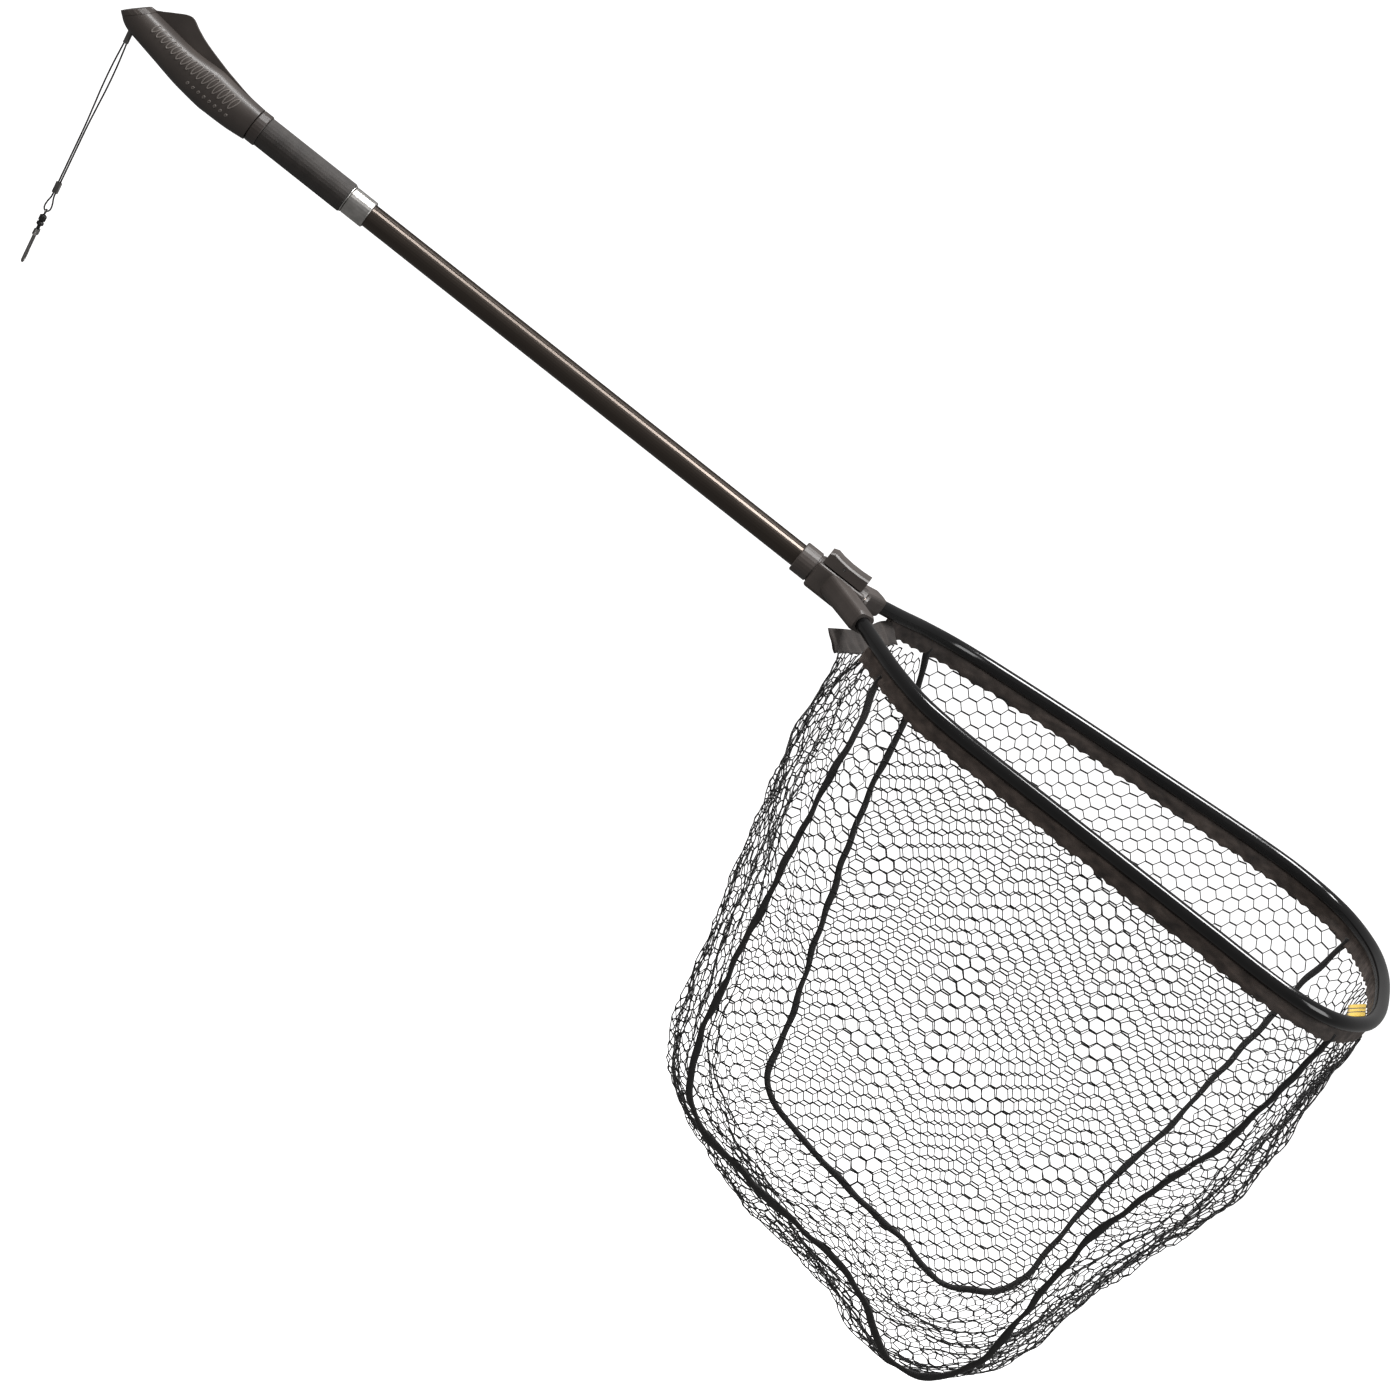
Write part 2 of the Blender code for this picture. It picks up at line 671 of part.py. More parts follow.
def make_pommel(plastic, steel):
    bore_end = -SHAFT_BEHIND_ORIGIN - PLUG_FLANGE - 2.0 * GAP
    for side, name in ((-1, "pommel_near_shell"), (1, "pommel_far_shell")):
        shell = loft(name, pommel_rings((side,)), plastic)
        slice_solid(shell, END_CAP_THICKNESS + GAP, keep_front=True)
        drill(shell, name + "_bore", (bore_end, 0, 0), (BAND_REAR + 0.01, 0, 0), BORE_RADIUS)
        combine(shell, block(name + "_pocket", LANYARD_POCKET[0], LANYARD_POCKET[1], None))
        for number, (x, z) in enumerate(POMMEL_SCREWS):
            start = (x, SCREW_NEAR_Y - GAP, z)
            drill(shell, "%s_hole_%d" % (name, number), start, (x, 0.03, z), SCREW_RADIUS + GAP)
            if side > 0:
                head_seat = (x, SCREW_FAR_Y - GAP, z)
                drill(shell, "%s_seat_%d" % (name, number), head_seat, (x, 0.04, z),
                      SCREW_HEAD_RADIUS + GAP)
        pin = Vector(LANYARD_PIN)
        reach = Vector((0, LANYARD_PIN_REACH + GAP, 0))
        drill(shell, name + "_pin_hole", pin - reach, pin + reach, LANYARD_PIN_RADIUS + GAP)
    cap = loft("pommel_end_cap", pommel_rings((-1, 1)), plastic)
    slice_solid(cap, 0.0, keep_front=True)
    slice_solid(cap, END_CAP_THICKNESS, keep_front=False)
    combine(cap, block("cap_pocket", LANYARD_POCKET[0], LANYARD_POCKET[1], None))
    for number, (x, z) in enumerate(POMMEL_SCREWS):
        profile = (
            (SCREW_RADIUS, 0.0),
            (SCREW_RADIUS, SCREW_FAR_Y - SCREW_NEAR_Y),
            (SCREW_HEAD_RADIUS, SCREW_FAR_Y - SCREW_NEAR_Y),
            (SCREW_HEAD_RADIUS, SCREW_FAR_Y - SCREW_NEAR_Y + SCREW_HEAD_HEIGHT),
        )
        turned("pommel_screw_%d" % (number + 1), profile, (x, SCREW_NEAR_Y, z), (0, 1, 0), steel)
    pin = Vector(LANYARD_PIN)
    reach = Vector((0, LANYARD_PIN_REACH, 0))
    rod("lanyard_pin", pin - reach, pin + reach, LANYARD_PIN_RADIUS, steel)


# --- Yoke ------------------------------------------------------------------------

def arm_point(triple, side):
    return Vector((triple[0], side * triple[1], triple[2]))


def arm_screw_place(side):
    start = arm_point(ARM_START, side)
    mouth = arm_point(ARM_MOUTH, side)
    return mouth + (start - mouth).normalized() * ARM_SCREW_BACK


def arm_block(side, head):
    """A squarish arm with rounded edges, from inside the body to its mouth."""
    root = arm_point(ARM_ROOT, side)
    mouth = arm_point(ARM_MOUTH, side)
    across = (mouth - root).cross(Vector((0, 0, 1))).normalized()
    upward = across.cross(mouth - root).normalized()
    rings = []
    for share, half in ((0.0, ARM_ROOT_HALF), (0.94, ARM_HALF), (1.0, ARM_HALF - 0.0012)):
        ring = []
        for step in range(28):
            angle = 2.0 * math.pi * (step + 0.5) / 28
            out = math.copysign(abs(math.cos(angle)) ** ARM_SQUARENESS, math.cos(angle)) * half
            up = math.copysign(abs(math.sin(angle)) ** ARM_SQUARENESS, math.sin(angle)) * half
            ring.append(root.lerp(mouth, share) + across * out + upward * up)
        rings.append(ring)
    return loft("yoke_arm_%d" % (side + 1), rings, None, head)


def make_yoke(plastic, head):
    socket = YOKE_BARREL + SOCKET_RIM
    groove = YOKE_BARREL - SOCKET_RIM
    yoke = turned(
        "yoke_body",
        (
            (socket - 0.0010, 0.0),
            (socket, 0.0010),
            (socket, SOCKET_LENGTH),
            (groove, SOCKET_LENGTH + 0.0002),
            (groove, SOCKET_LENGTH + BODY_STEP + 0.0010),
            (YOKE_BARREL, SOCKET_LENGTH + BODY_STEP + 0.0012),
            (YOKE_BARREL, BODY_LENGTH + BARREL_NOSE),
        ),
        (0, 0, 0), (1, 0, 0), plastic, head, FINE_SIDES,
    )
    width = max(BODY_HALF_WIDTH, LEVER_HALF_WIDTH + GAP + 0.0015)
    body = block(
        "yoke_main", (SOCKET_LENGTH + BODY_STEP, -width, -BODY_DROP - LATCH_LIFT),
        (BODY_LENGTH, width, BODY_RISE + LATCH_LIFT), None, head, BODY_BEVEL,
    )
    combine(yoke, body, "UNION")
    for side in (-1, 1):
        combine(yoke, arm_block(side, head), "UNION")
    pocket_width = LEVER_HALF_WIDTH + GAP
    pocket = block(
        "lever_pocket", (LEVER_REAR - GAP, -pocket_width, POCKET_FLOOR + LATCH_LIFT),
        (LEVER_FRONT + GAP, pocket_width, 0.05), None, head,
    )
    past = BODY_LENGTH + 0.02
    keep = rod("barrel_keep", (-0.01, 0, 0), (past, 0, 0), YOKE_BARREL + GAP / 2.0, None, head, 36)
    combine(pocket, keep)
    combine(yoke, pocket)
    for side in (-1, 1):
        inner, outer = sorted((side * LUG_INNER, side * LUG_OUTER))
        lug = block(
            "latch_lug_%d" % (side + 1),
            (PIVOT_X - LUG_HALF_LENGTH, inner, YOKE_BARREL - 0.002),
            (PIVOT_X + LUG_HALF_LENGTH, outer, LUG_TOP + LATCH_LIFT), None, head,
        )
        combine(yoke, lug, "UNION")
    pivot = Vector((PIVOT_X, 0, PIVOT_Z + LATCH_LIFT))
    reach = Vector((0, LUG_OUTER + 0.003, 0))
    combine(yoke, rod("lug_hole", pivot - reach, pivot + reach, PIN_RADIUS + GAP, None, head))
    plunger_hole = rod(
        "plunger_hole", (PLUNGER_X, 0, 0.004), (PLUNGER_X, 0, YOKE_BARREL + 0.004),
        PLUNGER_RADIUS + GAP, None, head,
    )
    combine(yoke, plunger_hole)
    for side in (-1, 1):
        start = arm_point(ARM_START, side)
        mouth = arm_point(ARM_MOUTH, side)
        onward = (mouth - start).normalized()
        tunnel = rod(
            "arm_bore_%d" % (side + 1), start - onward * GAP, mouth + onward * 0.01,
            HOOP_RADIUS + BORE_PLAY, None, head, FINE_SIDES,
        )
        combine(yoke, tunnel)
        place = arm_screw_place(side)
        seat = rod(
            "arm_seat_%d" % (side + 1), place + Vector((0, 0, -0.03)), place + Vector((0, 0, -0.0088)),
            ARM_SCREW_HEAD + GAP, None, head,
        )
        hole = rod(
            "arm_hole_%d" % (side + 1), place + Vector((0, 0, -0.02)), place,
            ARM_SCREW_RADIUS + GAP, None, head,
        )
        combine(yoke, seat)
        combine(yoke, hole)
    bore = rod("yoke_bore", (-0.01, 0, 0), (past, 0, 0), BARREL_BORE, None, head, FINE_SIDES)
    combine(yoke, bore)
    return yoke


def make_yoke_fittings(plastic, steel, head):
    outer = BARREL_BORE - GAP
    pipe("rear_bush", 0.0006, 0.0006 + BUSH_LENGTH, outer, BORE_RADIUS, plastic, head, 0.0002)
    front = BODY_LENGTH - 0.0006
    pipe("front_bush", front - FRONT_BUSH_LENGTH, front, outer, BORE_RADIUS, plastic, head, 0.0002)
    for side, name in ((-1, "arm_screw_near"), (1, "arm_screw_far")):
        place = arm_screw_place(side)
        profile = (
            (ARM_SCREW_HEAD, 0.0),
            (ARM_SCREW_HEAD, 0.0014),
            (ARM_SCREW_RADIUS, 0.0014),
            (ARM_SCREW_RADIUS, 0.0102),
        )
        turned(name, profile, place + Vector((0, 0, -0.0105)), (0, 0, 1), steel, head)


# --- Latch -----------------------------------------------------------------------

def make_latch(plastic, steel, head):
    pivot_z = PIVOT_Z + LATCH_LIFT
    hinge = make_empty("lever_hinge", (PIVOT_X, 0, pivot_z), head)
    back = Vector((-PIVOT_X, 0, -pivot_z))
    width = LEVER_HALF_WIDTH
    bottom = BODY_RISE + GAP + LATCH_LIFT
    slope = 0.0016
    xs = (LEVER_REAR, LEVER_REAR + 0.0050, LEVER_REAR + 0.0120, LEVER_REAR + 0.0220,
          LEVER_FRONT - 0.0100, LEVER_FRONT)
    rings = []
    for x, top in zip(xs, LEVER_TOPS):
        top += LATCH_LIFT
        rings.append([
            Vector((x, -width, bottom)) + back,
            Vector((x, width, bottom)) + back,
            Vector((x, width, top - slope)) + back,
            Vector((x, width * 0.86, top)) + back,
            Vector((x, -width * 0.86, top)) + back,
            Vector((x, -width, top - slope)) + back,
        ])
    lever = loft("latch_lever", rings, plastic, hinge)
    inside = block(
        "lever_hollow",
        Vector((LEVER_REAR + 0.0028, -width + LEVER_WALL, 0)) + back,
        Vector((LEVER_FRONT - 0.0028, width - LEVER_WALL, LEVER_ROOF + LATCH_LIFT)) + back,
        None, hinge,
    )
    combine(lever, inside)
    arch = rod(
        "lever_arch", Vector((LEVER_REAR - 0.01, 0, 0)) + back, Vector((LEVER_FRONT + 0.01, 0, 0)) + back,
        YOKE_BARREL + LEVER_ARCH, None, hinge, FINE_SIDES,
    )
    combine(lever, arch)
    reach = Vector((0, width + 0.002, 0))
    combine(lever, rod("lever_pin_hole", -reach, reach, PIN_RADIUS + GAP, None, hinge))
    pin_end = Vector((0, width - 0.0004, 0))
    pivot = Vector((PIVOT_X, 0, pivot_z))
    rod("latch_pin", pivot - pin_end, pivot + pin_end, PIN_RADIUS, steel, head)

    slide = make_empty("plunger_slide", (PLUNGER_X, 0, 0), head)
    floor = SHAFT_RADIUS - GROOVE_DEPTH + GAP
    collar = YOKE_BARREL + 0.0023
    profile = (
        (PLUNGER_RADIUS - 0.0005, floor),
        (PLUNGER_RADIUS, floor + 0.0005),
        (PLUNGER_RADIUS, collar),
        (PLUNGER_COLLAR, collar),
        (PLUNGER_COLLAR, collar + 0.0012),
        (PLUNGER_RADIUS, collar + 0.0012),
        (PLUNGER_RADIUS, LEVER_ROOF + LATCH_LIFT - GAP),
    )
    turned("latch_plunger", profile, (0, 0, 0), (0, 0, 1), steel, slide)

    low = YOKE_BARREL + SPRING_WIRE + GAP
    high = LEVER_ROOF + LATCH_LIFT - SPRING_WIRE - GAP
    points = []
    steps = SPRING_TURNS * 10
    for step in range(steps + 1):
        angle = 2.0 * math.pi * step / 10
        points.append(Vector((
            SPRING_X + SPRING_RADIUS * math.cos(angle),
            SPRING_RADIUS * math.sin(angle),
            low + (high - low) * step / steps,
        )))
    tube("latch_spring", points, SPRING_WIRE, steel, head)


# --- Hoop, hem and bag -----------------------------------------------------------

def hoop_route():
    """The hoop tube's centre line, from the near socket round to the far one."""
    mouth_x, mouth_y, mouth_z = ARM_MOUTH
    half = [Vector(ARM_START), (Vector(ARM_START) + Vector(ARM_MOUTH)) / 2.0, Vector(ARM_MOUTH)]
    for share, outward, height in HOOP_RAIL:
        y = mouth_y + outward * (HOOP_HALF_WIDTH - mouth_y)
        half.append(Vector((mouth_x + share * HOOP_LENGTH, y, height)))
    for share, width, height in HOOP_TIP:
        half.append(Vector((mouth_x + share * HOOP_LENGTH, width * HOOP_HALF_WIDTH, height)))
    near = [Vector((point.x, -point.y, point.z)) for point in half]
    return smooth_curve(near + half[-2::-1], 2)


def rail_at(x, side):
    """The point of the rail above a place along the head."""
    line = hoop_route()
    line = line[:len(line) // 2 + 1]
    for start, end in zip(line, line[1:]):
        if start.x <= x <= end.x and end.x > start.x:
            point = start.lerp(end, (x - start.x) / (end.x - start.x))
            return Vector((x, -side * point.y, point.z))
    point = line[-1] if x > line[-1].x else line[0]
    return Vector((x, -side * point.y, point.z))


def c_section():
    """Outline of the hoop tube, open along its underside for the hem."""
    steps = 9
    outer = []
    inner = []
    for radius, points in ((HOOP_RADIUS, outer), (HOOP_RADIUS - HOOP_WALL, inner)):
        opening = math.asin(SLOT_HALF_WIDTH / radius)
        for step in range(steps + 1):
            angle = -math.pi / 2.0 + opening + (2.0 * math.pi - 2.0 * opening) * step / steps
            points.append((radius * math.cos(angle), radius * math.sin(angle)))
    section = outer + inner[::-1]
    last = len(section) - 1
    caps = [(step, step + 1, last - step - 1, last - step) for step in range(steps)]
    return section, caps


def make_hoop(black, fabric, head):
    route = hoop_route()
    section, caps = c_section()
    hoop = sweep("hoop_tube", route, section, caps, black, head)
    for side in (-1, 1):
        place = arm_screw_place(side)
        hole = rod(
            "hoop_hole_%d" % (side + 1), place + Vector((0, 0, -0.012)), place,
            ARM_SCREW_RADIUS + GAP, None, head,
        )
        combine(hoop, hole)
    start_x = ARM_MOUTH[0] + HEM_START * HOOP_LENGTH
    hem_path = [point for point in route if point.x >= start_x]
    keder_drop = HOOP_RADIUS - HOOP_WALL - KEDER_RADIUS - GAP
    keder_path = [point - Vector((0, 0, keder_drop)) for point in hem_path]
    tube("keder_cord", keder_path, KEDER_RADIUS, fabric, head)
    half = HEM_THICKNESS / 2.0
    top = -(HOOP_RADIUS - HOOP_WALL)
    strip = ((half, top), (-half, top), (-half, -HEM_BOTTOM), (half, -HEM_BOTTOM))
    sweep("hem_band", hem_path, strip, ((0, 1, 2, 3),), fabric, head)


def make_bridge(fabric, head):
    """The strip of hem that crosses under the yoke, with its free near end."""
    far = Vector(BRIDGE_FAR)
    near = Vector(BRIDGE_NEAR)
    across = Vector(BRIDGE_ACROSS)
    columns = 6
    rows = 3
    grid = []
    for column in range(columns + 1):
        share = column / columns
        top = far.lerp(near, share)
        grid.append([top + across * (row / rows) for row in range(rows + 1)])
    sheet("hem_bridge", grid, HEM_THICKNESS, fabric, head)


def make_label(name, colour, head):
    """A blank tab sewn inside the hem's lower edge at the tip, leaning inward."""
    line = [point for point in hoop_route() if point.x > ARM_MOUTH[0] + 0.97 * HOOP_LENGTH]
    index = min(range(1, len(line) - 1), key=lambda step: abs(line[step].y - LABEL_Y))
    heading = (line[index + 1] - line[index - 1]).normalized()
    inward = Vector((-heading.y, heading.x, 0.0)).normalized()
    length, thickness, height = LABEL_SIZE
    sagitta = 0.0012
    downward = inward * math.sin(LABEL_LEAN) - Vector((0, 0, math.cos(LABEL_LEAN)))
    facing = inward * math.cos(LABEL_LEAN) + Vector((0, 0, math.sin(LABEL_LEAN)))
    away = HEM_THICKNESS / 2.0 + GAP + sagitta + thickness / 2.0
    root = line[index] + inward * away - Vector((0, 0, HEM_BOTTOM - LABEL_OVERLAP))
    middle = root + downward * height / 2.0
    bm = bmesh.new()
    corners = []
    for along in (-0.5, 0.5):
        for through in (-0.5, 0.5):
            for up in (-0.5, 0.5):
                offset = heading * length * along + facing * thickness * through
                corners.append(bm.verts.new(middle + offset + downward * height * up))
    for face in ((0, 1, 3, 2), (4, 5, 7, 6), (0, 1, 5, 4), (2, 3, 7, 6), (0, 2, 6, 4), (1, 3, 7, 5)):
        bm.faces.new([corners[corner] for corner in face])
    finish_mesh(name, bm, colour, head)


def hem_edge(x, side):
    """The lower edge of the hem above a place along the head."""
    return rail_at(x, side) - Vector((0, 0, HEM_BOTTOM + GAP))


def panel_point(x, z, side):
    """A place on a side panel, which leans in from the rail to the floor."""
    edge = hem_edge(x, side)
    share = min(1.0, max(0.0, (edge.z - z) / (0.92 * BAG_DEPTH)))
    y = abs(edge.y)
    y += (BAG_FLOOR_HALF_WIDTH - y) * share ** BAG_NARROWING
    return Vector((x, side * y, z))


def seam_points(seam, side):
    """The seam's own points: the ends on the hem and the rest on the panel."""
    points = []
    for share, depth in seam:
        x = ARM_MOUTH[0] + share * HOOP_LENGTH
        if depth == 0.0:
            points.append(hem_edge(x, side))
        else:
            points.append(panel_point(x, -depth * BAG_DEPTH, side))
    return points


def line_at(points, share):
    """A point part of the way along a line of points, by its length."""
    lengths = [(b - a).length for a, b in zip(points, points[1:])]
    target = share * sum(lengths)
    for start, end, length in zip(points, points[1:], lengths):
        if target <= length:
            return start.lerp(end, target / length)
        target -= length
    return points[-1].copy()


def make_panel(name, seam, side, net, head):
    """One flat side of the bag, filled in between its hem and its seam."""
    points = seam_points(seam, side)
    rear = smooth_curve(points[:FLOOR_FIRST + 1], 4)
    floor = smooth_curve(points[FLOOR_FIRST:FLOOR_LAST + 1], 4)
    front = smooth_curve(points[FLOOR_LAST:], 4)[::-1]
    columns = 9
    rows = 10
    inset_across = SEAM_CLEARANCE / (0.7 * HOOP_LENGTH)
    inset_down = SEAM_CLEARANCE / (0.8 * BAG_DEPTH)
    grid = []
    for row in range(rows + 1):
        down = (1.0 - 2.0 * inset_down) * row / rows
        left = line_at(rear, down)
        right = line_at(front, down)
        line = []
        for column in range(columns + 1):
            along = inset_across + (1.0 - 2.0 * inset_across) * column / columns
            top_x = points[0].x + (points[-1].x - points[0].x) * along
            top = hem_edge(top_x, side)
            bottom = line_at(floor, along)
            sides = left.lerp(right, along)
            ends = top.lerp(bottom, down)
            corners = points[0].lerp(points[-1], along).lerp(floor[0].lerp(floor[-1], along), down)
            x = sides.x + ends.x - corners.x
            z = sides.z + ends.z - corners.z
            line.append(top if row == 0 else panel_point(x, min(z, hem_edge(x, side).z), side))
        grid.append(line)
    sheet(name, grid, NET_THICKNESS, net, head)


def make_gusset(net, head):
    """The strip of net that runs down, under and up between the two panels."""
    near = smooth_curve(seam_points(NEAR_SEAM, -1), 2)
    far = smooth_curve(seam_points(FAR_SEAM, 1), 2)
    middle = []
    for share, depth in MID_LINE:
        x = ARM_MOUTH[0] + share * HOOP_LENGTH
        z = -depth * BAG_DEPTH if depth > 0.0 else HOOP_TIP[-1][2] - HEM_BOTTOM - GAP
        middle.append(Vector((x, 0.0, z)))
    middle = smooth_curve(middle, 2)
    columns = 6
    inset = SEAM_CLEARANCE / (2.0 * BAG_FLOOR_HALF_WIDTH)
    grid = []
    for low, high, centre in zip(near, far, middle):
        row = []
        bulge = centre - low.lerp(high, 0.5)
        bulge.y = 0.0
        for column in range(columns + 1):
            across = inset + (1.0 - 2.0 * inset) * column / columns
            swell = 1.0 - (2.0 * across - 1.0) ** 4
            row.append(low.lerp(high, across) + bulge * swell)
        grid.append(row)
    top = grid[-1]
    for column, point in enumerate(top):
        point.z = min(point.z, hem_edge(min(point.x, ARM_MOUTH[0] + HOOP_LENGTH), 1).z - GAP)
    sheet("bag_gusset", grid, NET_THICKNESS, net, head)


def make_tape(name, seam, side, fabric, head):
    points = smooth_curve(seam_points(seam, side), 2)
    clear = Vector((0, 0, GAP + 0.8 * TAPE_RADIUS))
    points[0] = points[0] - clear
    points[-1] = points[-1] - clear
    tube(name, points, TAPE_RADIUS, fabric, head)


# --- Lanyard ---------------------------------------------------------------------

def down_line():
    return Vector((math.sin(LANYARD_LEAN), 0.0, -math.cos(LANYARD_LEAN)))


def hang(distance, offset=0.0, aside=0.0):
    """A place on the lanyard, measured from its pin."""
    along = Vector((math.cos(LANYARD_LEAN), 0.0, math.sin(LANYARD_LEAN)))
    return down_line() * distance + along * offset + Vector((0, aside, 0))


def cord_points():
    """The cord's line: down, round the swivel's eye and up again."""
    steps = 6
    route = smooth_curve([hang(distance, offset) for distance, offset in CORD_ROUTE], steps)
    turn_start = LOOP_FIRST * steps
    turn_end = LOOP_LAST * steps
    down = evenly(route[:turn_start + 1], CORD_SPACING)
    turn = evenly(route[turn_start:turn_end + 1], LOOP_SPACING)
    back = evenly(route[turn_end:], CORD_SPACING)
    return down[:-1] + turn + back[1:]


def make_lanyard(grey, steel, black, swing):
    ferrule = turned(
        "lanyard_ferrule",
        (
            (FERRULE_RADIUS - 0.0008, FERRULE_TOP),
            (FERRULE_RADIUS, FERRULE_TOP + 0.0008),
            (FERRULE_RADIUS, FERRULE_END - 0.0005),
            (FERRULE_RADIUS - 0.0005, FERRULE_END),
        ),
        (0, 0, 0), down_line(), grey, swing,
    )
    reach = Vector((0, 0.006, 0))
    combine(ferrule, rod("ferrule_hole", -reach, reach, LANYARD_PIN_RADIUS + GAP, None, swing))
    tube("lanyard_cord", cord_points(), CORD_RADIUS, black, swing, resolution=2)
    make_crimp(grey, swing)


def crimp_rings(start, end, half_width, half_depth):
    """Two oval rings with flat sides, at either end of the crimp."""
    rings = []
    for distance in (start, end):
        ring = []
        flat = half_width - half_depth
        for step in range(16):
            angle = 2.0 * math.pi * (step + 0.5) / 16
            offset = math.copysign(flat, math.cos(angle)) + half_depth * math.cos(angle)
            ring.append(hang(distance, offset, half_depth * math.sin(angle)))
        rings.append(ring)
    return rings


def make_crimp(grey, swing):
    rings = crimp_rings(CRIMP_START, CRIMP_END, CRIMP_HALF_WIDTH, CRIMP_HALF_DEPTH)
    crimp = loft("lanyard_crimp", rings, grey, swing)
    past = 0.002
    cord_room = CORD_RADIUS + GAP
    widest = max(abs(offset) for distance, offset in CORD_ROUTE if CRIMP_START <= distance <= CRIMP_END)
    rings = crimp_rings(CRIMP_START - past, CRIMP_END + past, widest + CRIMP_EASE + cord_room, cord_room)
    combine(crimp, loft("crimp_hole", rings, None, swing))


def make_swivel(steel, black, swing):
    eye_top = max(distance for distance, offset in CORD_ROUTE) - CORD_RADIUS - GAP - EYE_WIRE
    radius = EYE_INNER + EYE_WIRE
    loop = []
    for step in range(20):
        angle = 2.0 * math.pi * step / 20
        distance = eye_top + radius + radius * math.cos(angle)
        loop.append(hang(distance, 0.0, radius * math.sin(angle)))
    tube("swivel_eye", loop, EYE_WIRE, steel, swing, closed=True)
    eye_end = eye_top + 2.0 * radius + EYE_WIRE
    start = max(BARREL_START, eye_end + GAP)
    turned(
        "swivel_barrel",
        (
            (0.0016, start),
            (BARREL_RADIUS - 0.0006, start + 0.0012),
            (BARREL_RADIUS, start + 0.0020),
            (BARREL_RADIUS, SWIVEL_GAP - 0.0012),
            (BARREL_RADIUS - 0.0008, SWIVEL_GAP - GAP),
        ),
        (0, 0, 0), down_line(), black, swing,
    )


def shoulder_plate(steel, spin):
    """The six-sided block that the hook's bend and gate spring from."""
    half = HOOK_HALF_WIDTH
    deep = PLATE_HALF_DEPTH
    peak = 0.0013
    outline = (
        (-half, -deep), (half, -deep), (half + peak, 0.0),
        (half, deep), (-half, deep), (-half - peak, 0.0),
    )
    rings = []
    for distance, widening in ((HOOK_SHOULDER - 0.0025, 1.0), (HOOK_SHOULDER + 0.0030, 1.15)):
        rings.append([hang(distance, offset * widening, aside) for offset, aside in outline])
    return loft("hook_body", rings, steel, spin)


def hook_line(nose):
    """The hook's bend, down the back, round the end and up to its nose."""
    half = HOOK_HALF_WIDTH
    bottom = HOOK_END - half - HOOK_WIRE
    line = []
    for step in range(4):
        line.append(hang(HOOK_SHOULDER + (bottom - HOOK_SHOULDER) * step / 3.0, half))
    for step in range(1, 13):
        angle = math.pi * step / 12
        line.append(hang(bottom + half * math.sin(angle), half * math.cos(angle)))
    line.append(hang(nose, -half))
    return line


def make_gate(steel, spin):
    axis = hang(HOOK_SHOULDER, -HOOK_HALF_WIDTH)
    reach = Vector((0, PLATE_HALF_DEPTH + GAP, 0))
    rod("gate_pin", axis - reach, axis + reach, GATE_PIN_RADIUS, steel, spin, 12)
    hinge = make_empty("gate_hinge", axis, spin)
    profile = (
        (GATE_RADIUS - 0.0003, -0.0014),
        (GATE_RADIUS, -0.0011),
        (GATE_RADIUS, GATE_LENGTH - 0.0003),
        (GATE_RADIUS - 0.0004, GATE_LENGTH),
    )
    gate = turned("hook_gate", profile, (0, 0, 0), down_line(), steel, hinge)
    combine(gate, rod("gate_bore", -reach, reach, GATE_PIN_RADIUS + GAP, None, hinge, 12))


def make_hook(steel, black, swing):
    spin = make_empty("hook_swivel", (0, 0, 0), swing)
    spin.rotation_mode = "QUATERNION"
    spin.rotation_quaternion = Quaternion(down_line(), HOOK_TURN)
    stem = 0.0017
    profile = (
        (BARREL_RADIUS - 0.0008, SWIVEL_GAP),
        (BARREL_RADIUS, SWIVEL_GAP + 0.0010),
        (BARREL_RADIUS, SWIVEL_GAP + 0.0030),
        (stem, SWIVEL_GAP + 0.0040),
        (stem, HOOK_SHOULDER - 0.0028),
    )
    turned("hook_collar", profile, (0, 0, 0), down_line(), black, spin)
    hook = shoulder_plate(steel, spin)
    nose = HOOK_SHOULDER + GATE_LENGTH + GAP
    combine(hook, bent_rod("hook_bend", hook_line(nose), HOOK_WIRE, None, spin), "UNION")
    room = GATE_RADIUS + GAP
    slot = block(
        "gate_slot", (-HOOK_HALF_WIDTH - 0.0030, -room, -0.0060), (-HOOK_HALF_WIDTH + 0.0022, room, 0.0030),
        None, spin,
    )
    slot.location = hang(HOOK_SHOULDER)
    slot.rotation_euler = (0.0, -LANYARD_LEAN, 0.0)
    combine(hook, slot)
    axis = hang(HOOK_SHOULDER, -HOOK_HALF_WIDTH)
    reach = Vector((0, 0.0030, 0))
    combine(hook, rod("gate_hole", axis - reach, axis + reach, GATE_PIN_RADIUS + GAP, None, spin, 12))
    make_gate(steel, spin)


